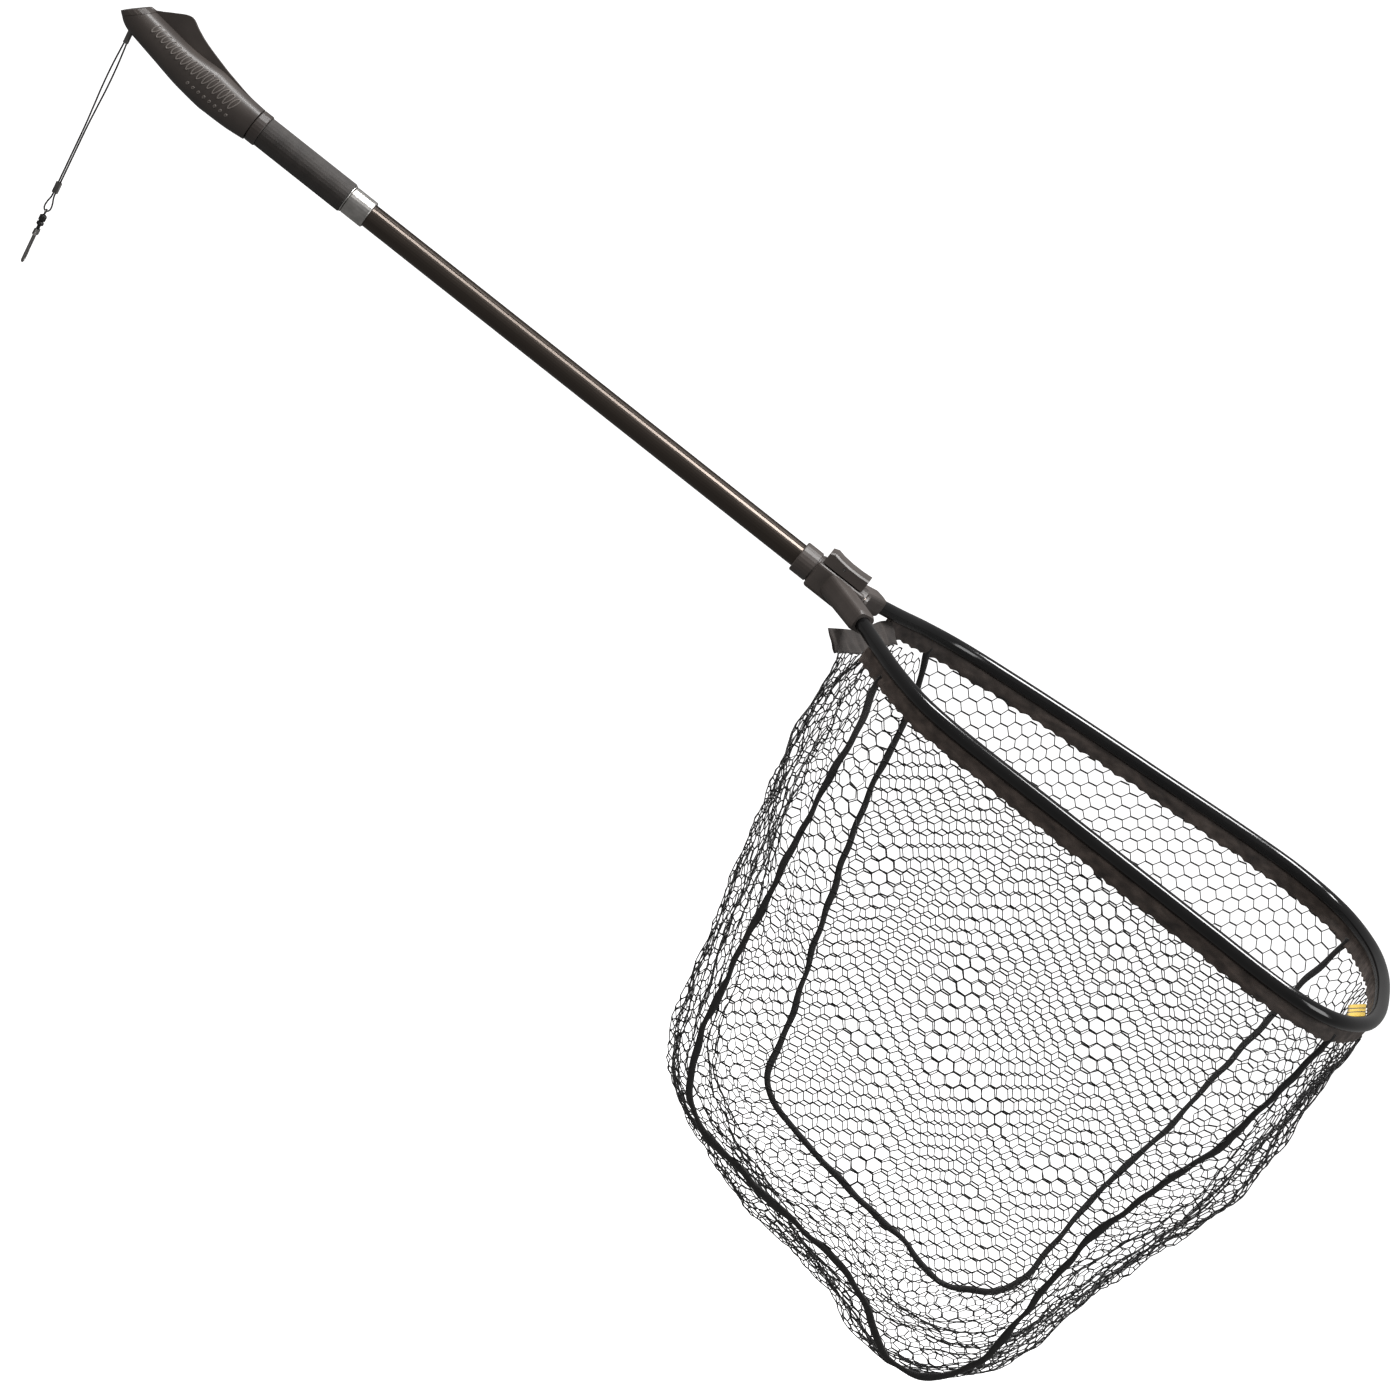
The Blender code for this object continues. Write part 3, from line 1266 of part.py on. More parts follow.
def main():
    clear_scene()
    grip = make_material("grip_plastic", GRIP_COLOUR, 0.55, 0.0)
    rubber = make_material("grip_rubber", GRIP_COLOUR, 0.75, 0.0)
    yoke = make_material("yoke_plastic", YOKE_COLOUR, 0.50, 0.0)
    shaft = make_material("shaft_metal", SHAFT_COLOUR, 0.25, 0.9)
    steel = make_material("bright_steel", STEEL_COLOUR, 0.35, 1.0)
    black = make_material("black_coat", BLACK_COLOUR, 0.25, 0.4)
    hem = make_material("hem_nylon", HEM_COLOUR, 0.80, 0.0)
    net = make_material("net_rubber", NET_COLOUR, 0.60, 0.0)
    label = make_material("label_yellow", LABEL_COLOUR, 0.60, 0.0)
    grey = make_material("ferrule_grey", FERRULE_COLOUR, 0.45, 0.5)

    make_shaft(shaft)
    make_plug("shaft_rear_plug", -SHAFT_BEHIND_ORIGIN, 1, grip)
    make_plug("shaft_end_cap", SHAFT_END, -1, grip)
    make_grip(rubber, grip, steel)
    make_pommel(grip, steel)

    head = make_empty("head_slide", (HEAD_X, 0, 0))
    make_yoke(yoke, head)
    make_yoke_fittings(grip, steel, head)
    make_latch(yoke, steel, head)
    make_hoop(black, hem, head)
    make_bridge(hem, head)
    make_label("hem_label", label, head)
    make_panel("net_near_panel", NEAR_SEAM, -1, net, head)
    make_panel("net_far_panel", FAR_SEAM, 1, net, head)
    make_gusset(net, head)
    make_tape("near_binding_tape", NEAR_SEAM, -1, hem, head)
    make_tape("far_binding_tape", FAR_SEAM, 1, hem, head)

    swing = make_empty("lanyard_hinge", LANYARD_PIN)
    make_lanyard(grey, steel, black, swing)
    make_swivel(steel, black, swing)
    make_hook(steel, black, swing)
    bpy.context.view_layer.update()


main()
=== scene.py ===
import json
import math

import bmesh
import bpy
import numpy as np
from mathutils import Matrix, Vector


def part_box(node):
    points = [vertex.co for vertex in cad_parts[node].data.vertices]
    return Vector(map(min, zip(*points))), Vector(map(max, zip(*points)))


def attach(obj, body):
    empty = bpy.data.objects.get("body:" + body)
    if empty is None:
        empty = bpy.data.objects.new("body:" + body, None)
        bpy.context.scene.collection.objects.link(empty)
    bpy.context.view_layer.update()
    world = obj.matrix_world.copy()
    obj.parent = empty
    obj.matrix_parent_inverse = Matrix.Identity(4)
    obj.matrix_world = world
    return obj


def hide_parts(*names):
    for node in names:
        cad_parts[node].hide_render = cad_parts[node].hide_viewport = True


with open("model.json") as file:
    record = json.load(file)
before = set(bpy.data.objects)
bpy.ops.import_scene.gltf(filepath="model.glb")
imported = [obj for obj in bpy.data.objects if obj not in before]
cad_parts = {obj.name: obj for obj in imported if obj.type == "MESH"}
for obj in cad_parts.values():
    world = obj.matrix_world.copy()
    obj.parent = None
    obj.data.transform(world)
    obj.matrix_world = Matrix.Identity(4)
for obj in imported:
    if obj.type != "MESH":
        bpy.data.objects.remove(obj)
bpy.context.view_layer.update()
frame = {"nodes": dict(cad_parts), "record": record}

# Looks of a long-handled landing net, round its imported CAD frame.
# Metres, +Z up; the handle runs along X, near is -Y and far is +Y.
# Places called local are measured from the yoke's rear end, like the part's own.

# --- Camera and stage ----------------------------------------------------------
VIEW_TARGET = Vector((0.577, 0.0, -0.1603))
VIEW_DISTANCE = 4.9
VIEW_ELEVATION = math.radians(13.3)
VIEW_ROLL = math.radians(38.37)
VIEW_LENS = 140.06
VIEW_SENSOR = 36.0
FLOOR_Z = -1.10
STAGE_FRONT = -9.0
STAGE_BEND = 5.0            # the floor starts to curve up here
STAGE_BEND_RADIUS = 2.0
STAGE_BEND_STEPS = 9
STAGE_TOP = 9.0
STAGE_HALF_WIDTH = 12.0
PAPER_GREY = 0.90
PAPER_GLOW = 0.88
WORLD_STRENGTH = 0.20
# name, place, aim, width, height, power
SOFTBOXES = (
    ("top_softbox", (0.75, -0.25, 2.4), (0.6, 0.0, -0.1), 1.0, 0.6, 60.0),
    ("bend_softbox", (-0.33, 0.0, 2.2), (0.4, 0.0, 0.0), 0.5, 0.6, 34.0),
    ("rail_softbox", (1.38, 0.15, 2.3), (0.9, 0.1, 0.0), 0.9, 0.4, 34.0),
    ("tip_softbox", (3.0, -1.0, 1.1), (1.1, 0.0, 0.0), 1.2, 1.4, 26.0),
)
FRONT_SOFTBOX = ("front_softbox", (-1.2, -2.4, 1.6), (0.6, 0.0, -0.1), 1.6, 1.2, 62.0)
FRONT_TINT = (1.0, 0.95, 0.91)

# --- The part's own sizes, repeated where a piece here follows them ----------------
SHAFT_RADIUS = 0.0113
BORE_RADIUS = 0.0116
HOOP_RADIUS = 0.00675
HOOP_WALL = 0.0013
SLOT_HALF_WIDTH = 0.0011
HEM_DEPTH = 0.0150
HEM_BOTTOM = HOOP_RADIUS + HEM_DEPTH
BAG_DEPTH = 0.512
BAG_FLOOR_HALF_WIDTH = 0.125
BAG_NARROWING = 0.8
BAND_REAR = -0.0536
ARM_START = (0.0560, 0.0255, -0.0015)
ARM_MOUTH = (0.0820, 0.0540, -0.0020)
HEAD_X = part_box("yoke_body")[0].x
HOOP_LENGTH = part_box("hoop_tube")[1].x - HOOP_RADIUS - HEAD_X - ARM_MOUTH[0]
HOOP_HALF_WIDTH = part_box("hoop_tube")[1].y - HOOP_RADIUS

# share of the hoop's length, share of the way out from the mouth, height
HOOP_RAIL = (
    (0.040, 0.165, -0.0035), (0.091, 0.375, -0.0045), (0.153, 0.545, -0.0045),
    (0.240, 0.653, -0.0025), (0.389, 0.761, 0.0020), (0.547, 0.858, 0.0060),
    (0.705, 0.955, 0.0100), (0.807, 1.000, 0.0118),
)
# share of the hoop's length, share of its half width, height
HOOP_TIP = (
    (0.881, 0.957, 0.0128), (0.933, 0.839, 0.0138), (0.975, 0.609, 0.0147),
    (0.995, 0.326, 0.0152), (1.000, 0.000, 0.0153),
)
HEM_START = 0.029
BRIDGE_FAR = Vector((0.0950, 0.0660, -0.0140))
BRIDGE_NEAR = Vector((0.0605, -0.0600, -0.0225))
BRIDGE_ACROSS = Vector((0.0183, 0.0, -0.0148))
BRIDGE_SAG = (0.004, 0.0, -0.003)
BRIDGE_INSET = 0.004        # it leaves the hem this far in front of the hem's end
BRIDGE_START_Z = -0.0105
BRIDGE_LAP = 0.004          # the gusset reaches this far up behind it
# shares of the hoop's length and of the bag's depth, down, along the floor and up
NEAR_SEAM = (
    (0.074, 0.0), (0.096, 0.147), (0.112, 0.264), (0.139, 0.410), (0.167, 0.566),
    (0.205, 0.732), (0.267, 0.836), (0.416, 0.871), (0.618, 0.895), (0.758, 0.973),
    (0.849, 0.898), (0.860, 0.762), (0.858, 0.586), (0.881, 0.430), (0.919, 0.273),
    (0.932, 0.117), (0.937, 0.0),
)
FAR_SEAM = (
    (0.116, 0.0), (0.153, 0.156), (0.179, 0.299), (0.223, 0.459), (0.267, 0.596),
    (0.312, 0.727), (0.354, 0.859), (0.477, 0.904), (0.682, 0.930), (0.784, 0.945),
    (0.874, 0.871), (0.882, 0.746), (0.889, 0.625), (0.909, 0.469), (0.921, 0.273),
    (0.930, 0.137), (0.942, 0.0),
)
MID_LINE = (
    (0.020, 0.080), (0.028, 0.166), (0.046, 0.283), (0.077, 0.400), (0.119, 0.537),
    (0.165, 0.693), (0.232, 0.859), (0.389, 0.934), (0.591, 0.977), (0.749, 1.000),
    (0.881, 0.918), (0.939, 0.725), (0.974, 0.586), (1.007, 0.420), (1.014, 0.273),
    (1.007, 0.137), (1.000, 0.0),
)
# distance behind the band, drop below the shaft, rise above it on the near
# side, rise above it on the far side, half width beyond the shaft
POMMEL_SECTIONS = (
    (0.0003, 0.0052, 0.0042, 0.0042, 0.0042), (0.0195, 0.0072, 0.0056, 0.0058, 0.0050),
    (0.0420, 0.0077, 0.0082, 0.0102, 0.0060), (0.0510, 0.0076, 0.0090, 0.0122, 0.0064),
    (0.0760, 0.0046, 0.0080, 0.0190, 0.0076), (0.0900, 0.0020, 0.0088, 0.0245, 0.0080),
    (0.1025, -0.0006, 0.0102, 0.0298, 0.0082), (0.1180, -0.0036, 0.0120, 0.0220, 0.0080),
    (0.1315, -0.0062, 0.0134, 0.0140, 0.0072), (0.1400, -0.0080, 0.0138, 0.0138, 0.0066),
    (0.1480, -0.0118, 0.0138, 0.0138, 0.0056), (0.1560, -0.0186, 0.0138, 0.0138, 0.0040),
    (0.1640, -0.0200, 0.0138, 0.0138, 0.0030),
)
POMMEL_SQUARENESS = 0.80
END_FACE_LOW = Vector((-0.2094, 0.0, 0.0073))
END_FACE_ANGLE = math.radians(43.5)
END_CAP_THICKNESS = 0.0050
GAP = 0.0003

# --- Lanyard --------------------------------------------------------------------
LANYARD_PIN = Vector((-0.1928, 0.0, 0.0005))
LANYARD_LEAN = math.radians(10.8)
CORD_RADIUS = 0.0008
# distance down from the pin, offset along the handle, down one strand and up the other
CORD_ROUTE = (
    (0.0161, -0.0012), (0.0230, -0.0016), (0.0400, -0.0023), (0.0600, -0.0023),
    (0.0800, -0.0016), (0.1000, -0.0010), (0.1300, -0.00095), (0.1600, -0.00095),
    (0.1700, -0.00110), (0.1760, -0.0026), (0.1805, -0.0032), (0.1837, -0.0023),
    (0.1850, 0.0000),
    (0.1837, 0.0023), (0.1805, 0.0032), (0.1760, 0.0026), (0.1700, 0.00110),
    (0.1600, 0.00095), (0.1300, 0.00095), (0.1000, 0.0010), (0.0800, 0.0016),
    (0.0600, 0.0023), (0.0400, 0.0023), (0.0230, 0.0016), (0.0161, 0.0012),
)
BARREL_START = 0.1878
SWIVEL_GAP = 0.1955
BARREL_RADIUS = 0.0030

# --- Sizes of what is only modelled here ------------------------------------------
MESH_PITCH = 0.0135         # across one hexagon of the netting
STRAND_RADIUS = 0.00056
TWIST_OFFSET = 0.00030      # the two strands of a twisted side lie this far apart
MESH_TILT = math.radians(8.0)
GUSSET_LATTICE = 0.420      # width of flat netting gathered into the gusset
GUSSET_STATIONS = 8         # rows of its grid to each span of the seams
GUSSET_COLUMNS = 33
GUSSET_TOP_ROWS = 12        # rows of its grid that lead down from the hem
GUSSET_SLACK_DOWN = 0.0050
GUSSET_SLACK_ACROSS = 0.0060
GUSSET_CRINKLE = 0.0012
GUSSET_FOLD = 0.0044
PANEL_WARP = 0.0032
PANEL_CRINKLE = 0.0004
PANEL_BILLOW = 0.0045
TAPE_TUCK = 0.009           # the binding tapes end this far up under the hem
TAPE_HALF_WIDTH = 0.0031
TAPE_HALF_DEPTH = 0.0016
SCALLOP = 0.0020
RIB_COUNT = 16
RIB_PITCH = 0.0063
RIB_START = 0.0235          # behind the band
RIB_ANGLE = 0.34
RIB_CLIMB = 0.012
RIB_LEAN = -0.30
STUD_COUNT = 8
STUD_ANGLE = -0.25
SHELL_BORE_REAR = -0.1534
LANYARD_POCKET = ((-0.2150, -0.0045, -0.0300), (-0.1805, 0.0045, 0.0062))
KNURL_RIDGES = 12
KNURL_DEPTH = 0.0005


# --- Small tools ------------------------------------------------------------------

def smooth_curve(points, steps):
    """Points on a smooth curve through the given points, steps to each span."""
    points = np.array([tuple(point) for point in points], dtype=float)
    ends = np.vstack([2 * points[0] - points[1], points, 2 * points[-1] - points[-2]])
    curve = []
    for index in range(1, len(ends) - 2):
        before, start, end, after = ends[index - 1:index + 3]
        for step in range(steps):
            t = step / steps
            curve.append(0.5 * (
                start * 2.0
                + (end - before) * t
                + (before * 2.0 - start * 5.0 + end * 4.0 - after) * t * t
                + (start * 3.0 - before - end * 3.0 + after) * t * t * t
            ))
    curve.append(points[-1])
    return np.array(curve)


def walked(line):
    """Distance along a line of points, at each point."""
    return np.concatenate([[0.0], np.cumsum(np.linalg.norm(np.diff(line, axis=0), axis=1))])


def resample(line, spacing):
    """The same line with its points at an even spacing."""
    reach = walked(line)
    count = max(2, int(round(reach[-1] / spacing)))
    places = np.linspace(0.0, reach[-1], count + 1)
    return np.stack([np.interp(places, reach, line[:, axis]) for axis in range(3)], axis=1)


def unit(vectors):
    return vectors / np.maximum(np.linalg.norm(vectors, axis=-1, keepdims=True), 1e-12)


def waves(seed, count, shortest, longest, *coordinates):
    """Smooth seeded unevenness, about one unit high, over the given coordinates."""
    random = np.random.default_rng(seed)
    total = np.zeros(np.broadcast(*coordinates).shape)
    for _ in range(count):
        length = random.uniform(shortest, longest)
        turn = random.uniform(0.0, 2.0 * math.pi)
        phase = random.uniform(0.0, 2.0 * math.pi)
        along = coordinates[0] * math.cos(turn)
        if len(coordinates) > 1:
            along = along + coordinates[1] * math.sin(turn)
        total += np.sin(2.0 * math.pi * along / length + phase)
    return total / math.sqrt(count)


def mesh_object(name, verts, faces, material, smooth=True):
    mesh = bpy.data.meshes.new(name)
    mesh.from_pydata([tuple(vert) for vert in verts], [], [tuple(face) for face in faces])
    mesh.update()
    bm = bmesh.new()
    bm.from_mesh(mesh)
    bmesh.ops.recalc_face_normals(bm, faces=bm.faces)
    bm.to_mesh(mesh)
    bm.free()
    if smooth:
        mesh.shade_smooth()
    mesh.materials.append(material)
    item = bpy.data.objects.new(name, mesh)
    bpy.context.scene.collection.objects.link(item)
    return item


def skin(rings, closed_ends=True, first=0, closed_loop=False):
    """Faces that join a stack of rings, numbered from first."""
    rows, sides = rings.shape[0], rings.shape[1]
    faces = []
    last = rows if closed_loop else rows - 1
    for row in range(last):
        start = first + row * sides
        after = first + ((row + 1) % rows) * sides
        for side in range(sides):
            onward = (side + 1) % sides
            faces.append((start + side, start + onward, after + onward, after + side))
    if closed_ends and not closed_loop:
        faces.append(tuple(range(first + sides - 1, first - 1, -1)))
        faces.append(tuple(first + (rows - 1) * sides + side for side in range(sides)))
    return faces


def place(piece, body, slot, *nodes):
    """Attach a piece to the body it moves with and hide the CAD nodes it stands for; slot is not
    used.
    """
    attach(piece, body)
    if nodes:
        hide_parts(*nodes)
    return piece


# --- Camera, floor and light --------------------------------------------------------

def make_camera():
    up = Vector((0.0, math.sin(VIEW_ELEVATION), math.cos(VIEW_ELEVATION)))
    along = Vector((1.0, 0.0, 0.0))
    back = Vector((0.0, -math.cos(VIEW_ELEVATION), math.sin(VIEW_ELEVATION)))
    right = along * math.cos(VIEW_ROLL) + up * math.sin(VIEW_ROLL)
    top = up * math.cos(VIEW_ROLL) - along * math.sin(VIEW_ROLL)
    data = bpy.data.cameras.new("camera")
    data.lens = VIEW_LENS
    data.sensor_width = VIEW_SENSOR
    camera = bpy.data.objects.new("camera", data)
    bpy.context.scene.collection.objects.link(camera)
    turn = Matrix((right, top, back)).transposed().to_4x4()
    camera.matrix_world = Matrix.Translation(VIEW_TARGET + back * VIEW_DISTANCE) @ turn
    bpy.context.scene.camera = camera


def hang(distance, offset=0.0, aside=0.0):
    """A place on the lanyard, measured down from its pin."""
    down = Vector((math.sin(LANYARD_LEAN), 0.0, -math.cos(LANYARD_LEAN)))
    along = Vector((math.cos(LANYARD_LEAN), 0.0, math.sin(LANYARD_LEAN)))
    return LANYARD_PIN + down * distance + along * offset + Vector((0.0, aside, 0.0))


def make_cord(material):
    line = resample(smooth_curve([hang(*pair) for pair in CORD_ROUTE], 10), 0.0011)
    data = bpy.data.curves.new("lanyard_cord_braid", "CURVE")
    data.dimensions = "3D"
    data.bevel_depth = CORD_RADIUS
    data.bevel_resolution = 3
    data.use_fill_caps = True
    spline = data.splines.new("POLY")
    spline.points.add(len(line) - 1)
    for point, spot in zip(spline.points, line):
        point.co = (*spot, 1.0)
    data.materials.append(material)
    cord = bpy.data.objects.new("lanyard_cord_braid", data)
    bpy.context.scene.collection.objects.link(cord)
    place(cord, "lanyard", "lanyard_cord", "lanyard_cord")


def soft_light(name, spot, target, width, height, power, tint=(1.0, 1.0, 1.0)):
    data = bpy.data.lights.new(name, "AREA")
    data.shape = "RECTANGLE"
    data.size = width
    data.size_y = height
    data.energy = power
    data.color = tint
    light = bpy.data.objects.new(name, data)
    bpy.context.scene.collection.objects.link(light)
    light.location = spot
    light.rotation_euler = (Vector(target) - Vector(spot)).to_track_quat("-Z", "Y").to_euler()
    return light


def make_stage():
    """A pale floor that curves up into a backdrop far behind."""
    profile = [(STAGE_FRONT, FLOOR_Z), (STAGE_BEND, FLOOR_Z)]
    for step in range(1, STAGE_BEND_STEPS + 1):
        angle = math.pi / 2.0 * step / STAGE_BEND_STEPS
        profile.append((
            STAGE_BEND + STAGE_BEND_RADIUS * math.sin(angle),
            FLOOR_Z + STAGE_BEND_RADIUS * (1.0 - math.cos(angle)),
        ))
    profile.append((STAGE_BEND + STAGE_BEND_RADIUS, STAGE_TOP))
    verts = [(x, y, z) for x in (-STAGE_HALF_WIDTH, STAGE_HALF_WIDTH) for y, z in profile]
    count = len(profile)
    faces = [(step, step + 1, count + step + 1, count + step) for step in range(count - 1)]
    material = bpy.data.materials.new("stage_paper")
    material.use_nodes = True
    shader = material.node_tree.nodes["Principled BSDF"]
    shader.inputs["Base Color"].default_value = (PAPER_GREY, PAPER_GREY, PAPER_GREY, 1.0)
    shader.inputs["Roughness"].default_value = 1.0
    shader.inputs["Specular IOR Level"].default_value = 0.0
    shader.inputs["Emission Color"].default_value = (1.0, 1.0, 1.0, 1.0)
    shader.inputs["Emission Strength"].default_value = PAPER_GLOW
    paper = mesh_object("stage_floor", verts, faces, material)
    paper.visible_glossy = False
    paper.visible_diffuse = False
    world = bpy.data.worlds.new("studio")
    world.use_nodes = True
    nodes = world.node_tree.nodes
    nodes["Background"].inputs["Color"].default_value = (1.0, 0.99, 0.98, 1.0)
    nodes["Background"].inputs["Strength"].default_value = WORLD_STRENGTH
    bpy.context.scene.world = world
    bpy.context.scene.view_settings.view_transform = "Standard"
    for softbox in SOFTBOXES:
        soft_light(*softbox)
    front = soft_light(*FRONT_SOFTBOX, FRONT_TINT)
    front.visible_glossy = False


# --- Materials --------------------------------------------------------------------

class Finish:
    """A Principled material under construction, with its object-space mapping."""

    def __init__(self, name, roughness, metallic=0.0):
        self.material = bpy.data.materials.new(name)
        self.material.use_nodes = True
        self.tree = self.material.node_tree
        self.shader = self.tree.nodes["Principled BSDF"]
        self.shader.inputs["Roughness"].default_value = roughness
        self.shader.inputs["Metallic"].default_value = metallic
        self.coordinates = self.tree.nodes.new("ShaderNodeTexCoord").outputs["Object"]
        self.normal = None

    def set(self, **values):
        for name, value in values.items():
            self.shader.inputs[name.replace("_", " ")].default_value = value
        return self

    def node(self, kind, **inputs):
        made = self.tree.nodes.new(kind)
        for name, value in inputs.items():
            made.inputs[name.replace("_", " ")].default_value = value
        return made

    def link(self, output, target):
        self.tree.links.new(output, target)

    def mapped(self, stretch):
        """Object coordinates, stretched by a factor on each axis."""
        mapping = self.tree.nodes.new("ShaderNodeMapping")
        mapping.inputs["Scale"].default_value = stretch
        self.link(self.coordinates, mapping.inputs["Vector"])
        return mapping.outputs["Vector"]

    def noise(self, scale, detail=3.0, stretch=(1.0, 1.0, 1.0)):
        noise = self.node("ShaderNodeTexNoise", Scale=scale, Detail=detail)
        self.link(self.mapped(stretch), noise.inputs["Vector"])
        return noise.outputs["Fac"]

    def grains(self, scale, stretch=(1.0, 1.0, 1.0)):
        cells = self.node("ShaderNodeTexVoronoi", Scale=scale)
        self.link(self.mapped(stretch), cells.inputs["Vector"])
        return cells.outputs["Distance"]

    def threads(self, scale, direction, stretch=(1.0, 1.0, 1.0)):
        wave = self.node("ShaderNodeTexWave", Scale=scale, Distortion=0.6, Detail=1.0)
        wave.bands_direction = direction
        self.link(self.mapped(stretch), wave.inputs["Vector"])
        return wave.outputs["Fac"]

    def ramp(self, factor, stops):
        ramp = self.tree.nodes.new("ShaderNodeValToRGB")
        elements = ramp.color_ramp.elements
        while len(elements) < len(stops):
            elements.new(0.5)
        for element, (position, colour) in zip(elements, stops):
            element.position = position
            element.color = (*colour, 1.0)
        self.link(factor, ramp.inputs["Fac"])
        return ramp.outputs["Color"]

    def colour(self, factor, stops):
        self.link(self.ramp(factor, stops), self.shader.inputs["Base Color"])
        return self

    def roughness(self, factor, low, high):
        spread = self.tree.nodes.new("ShaderNodeMapRange")
        spread.inputs["To Min"].default_value = low
        spread.inputs["To Max"].default_value = high
        self.link(factor, spread.inputs["Value"])
        self.link(spread.outputs["Result"], self.shader.inputs["Roughness"])
        return self

    def bump(self, factor, distance, strength=1.0):
        bump = self.node("ShaderNodeBump", Strength=strength, Distance=distance)
        self.link(factor, bump.inputs["Height"])
        if self.normal is not None:
            self.link(self.normal, bump.inputs["Normal"])
        self.normal = bump.outputs["Normal"]
        self.link(self.normal, self.shader.inputs["Normal"])
        return self

    def soft_edges(self, radius):
        bevel = self.node("ShaderNodeBevel", Radius=radius)
        bevel.samples = 4
        self.normal = bevel.outputs["Normal"]
        self.link(self.normal, self.shader.inputs["Normal"])
        return self


def moulded_plastic(name, dark, light, roughness, edge=0.0004):
    """Spark-textured moulding with faint flow marks."""
    made = Finish(name, roughness)
    if edge > 0.0:
        made.soft_edges(edge)
    made.colour(made.noise(28.0, 5.0), ((0.30, dark), (0.72, light)))
    made.roughness(made.noise(90.0, 3.0), roughness - 0.06, roughness + 0.08)
    made.bump(made.noise(2400.0, 2.0), 0.00005, 0.4)
    made.bump(made.noise(60.0, 2.0), 0.00012, 0.3)
    return made.material


def grip_rubber():
    made = Finish("grip_rubber_matt", 0.78)
    made.set(Sheen_Weight=0.08, Sheen_Roughness=0.5)
    stops = ((0.30, (0.016, 0.014, 0.013)), (0.75, (0.032, 0.028, 0.026)))
    made.colour(made.noise(60.0, 6.0), stops)
    made.roughness(made.noise(200.0, 3.0), 0.66, 0.86)
    made.bump(made.grains(950.0), 0.00022, 0.6)
    made.bump(made.noise(120.0, 2.0), 0.00015, 0.4)
    return made.material


def anodised(name, dark, light, roughness):
    """Extruded and anodised aluminium: streaks along X, roughness that varies."""
    made = Finish(name, roughness, 0.85)
    streaks = made.noise(170.0, 2.0, (0.02, 1.0, 1.0))
    made.colour(streaks, ((0.25, dark), (0.80, light)))
    made.roughness(made.noise(60.0, 3.0), roughness - 0.04, roughness + 0.06)
    return made.material


def bare_metal(name, dark, light, roughness, grain=(0.06, 1.0, 1.0)):
    """Brushed or satin metal, its scratches long on one axis."""
    made = Finish(name, roughness, 1.0).soft_edges(0.0003)
    lines = made.noise(900.0, 4.0, grain)
    made.colour(made.noise(160.0, 4.0), ((0.30, dark), (0.70, light)))
    made.roughness(lines, roughness - 0.06, roughness + 0.12)
    made.bump(lines, 0.00004, 0.5)
    return made.material


def gloss_black():
    """Thick gloss paint on the hoop, slightly uneven, dulled here and there."""
    made = Finish("hoop_gloss_black", 0.16)
    made.set(Coat_Weight=0.3, Coat_Roughness=0.06, IOR=1.42)
    stops = ((0.3, (0.0030, 0.0030, 0.0034)), (0.8, (0.0070, 0.0068, 0.0070)))
    made.colour(made.noise(18.0, 4.0), stops)
    made.roughness(made.noise(45.0, 5.0), 0.12, 0.22)
    made.bump(made.noise(22.0, 2.0), 0.0004, 0.5)
    return made.material


def hem_cloth(name, shade):
    """Coarse brown-black nylon, mottled paler and darker at random; a shade below 1 scales its
    colours and sheen down for a copy in painted shade.
    """
    made = Finish(name, 0.82)
    made.set(Sheen_Weight=0.35 * shade, Sheen_Roughness=0.45, Sheen_Tint=(0.55, 0.48, 0.44, 1.0))
    mottle = made.noise(95.0, 6.0, (0.7, 1.0, 1.6))
    tones = (
        (0.26, (0.018, 0.015, 0.014)), (0.50, (0.045, 0.036, 0.032)),
        (0.78, (0.090, 0.072, 0.064)),
    )
    made.colour(mottle, [(stop, tuple(part * shade for part in tone)) for stop, tone in tones])
    made.bump(made.threads(260.0, "X"), 0.00018, 0.5)
    made.bump(made.threads(260.0, "Z"), 0.00018, 0.5)
    made.bump(made.noise(330.0, 4.0), 0.0003, 0.5)
    return made.material


def tape_cloth():
    made = Finish("binding_tape_weave", 0.80)
    made.set(Sheen_Weight=0.25, Sheen_Roughness=0.5)
    stops = ((0.3, (0.0035, 0.0035, 0.0036)), (0.75, (0.012, 0.011, 0.011)))
    made.colour(made.noise(300.0, 4.0), stops)
    made.bump(made.threads(420.0, "DIAGONAL"), 0.0002, 0.7)
    made.bump(made.noise(600.0, 3.0), 0.0002, 0.4)
    return made.material


def net_rubber():
    made = Finish("net_rubber_coat", 0.42)
    stops = ((0.3, (0.0050, 0.0050, 0.0052)), (0.8, (0.0120, 0.0116, 0.0116)))
    made.colour(made.noise(240.0, 3.0), stops)
    made.roughness(made.noise(500.0, 2.0), 0.34, 0.56)
    made.bump(made.noise(1500.0, 2.0), 0.0001, 0.5)
    return made.material


def label_cloth():
    """Blank yellow tab with two plain dark bars woven across it."""
    made = Finish("label_woven", 0.62)
    made.set(Sheen_Weight=0.3)
    split = made.tree.nodes.new("ShaderNodeSeparateXYZ")
    made.link(made.coordinates, split.inputs["Vector"])
    across = made.tree.nodes.new("ShaderNodeMapRange")
    low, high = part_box("hem_label")
    across.inputs["From Min"].default_value = low.y
    across.inputs["From Max"].default_value = high.y
    made.link(split.outputs["Y"], across.inputs["Value"])
    yellow = (0.60, 0.40, 0.035)
    dark = (0.012, 0.011, 0.010)
    bars = made.ramp(across.outputs["Result"], (
        (0.0, yellow), (0.30, dark), (0.38, yellow), (0.62, dark), (0.70, yellow),
    ))
    bars.node.color_ramp.interpolation = "CONSTANT"
    made.link(bars, made.shader.inputs["Base Color"])
    made.bump(made.threads(500.0, "Z"), 0.0002, 0.6)
    made.bump(made.threads(500.0, "Y"), 0.0002, 0.6)
    return made.material


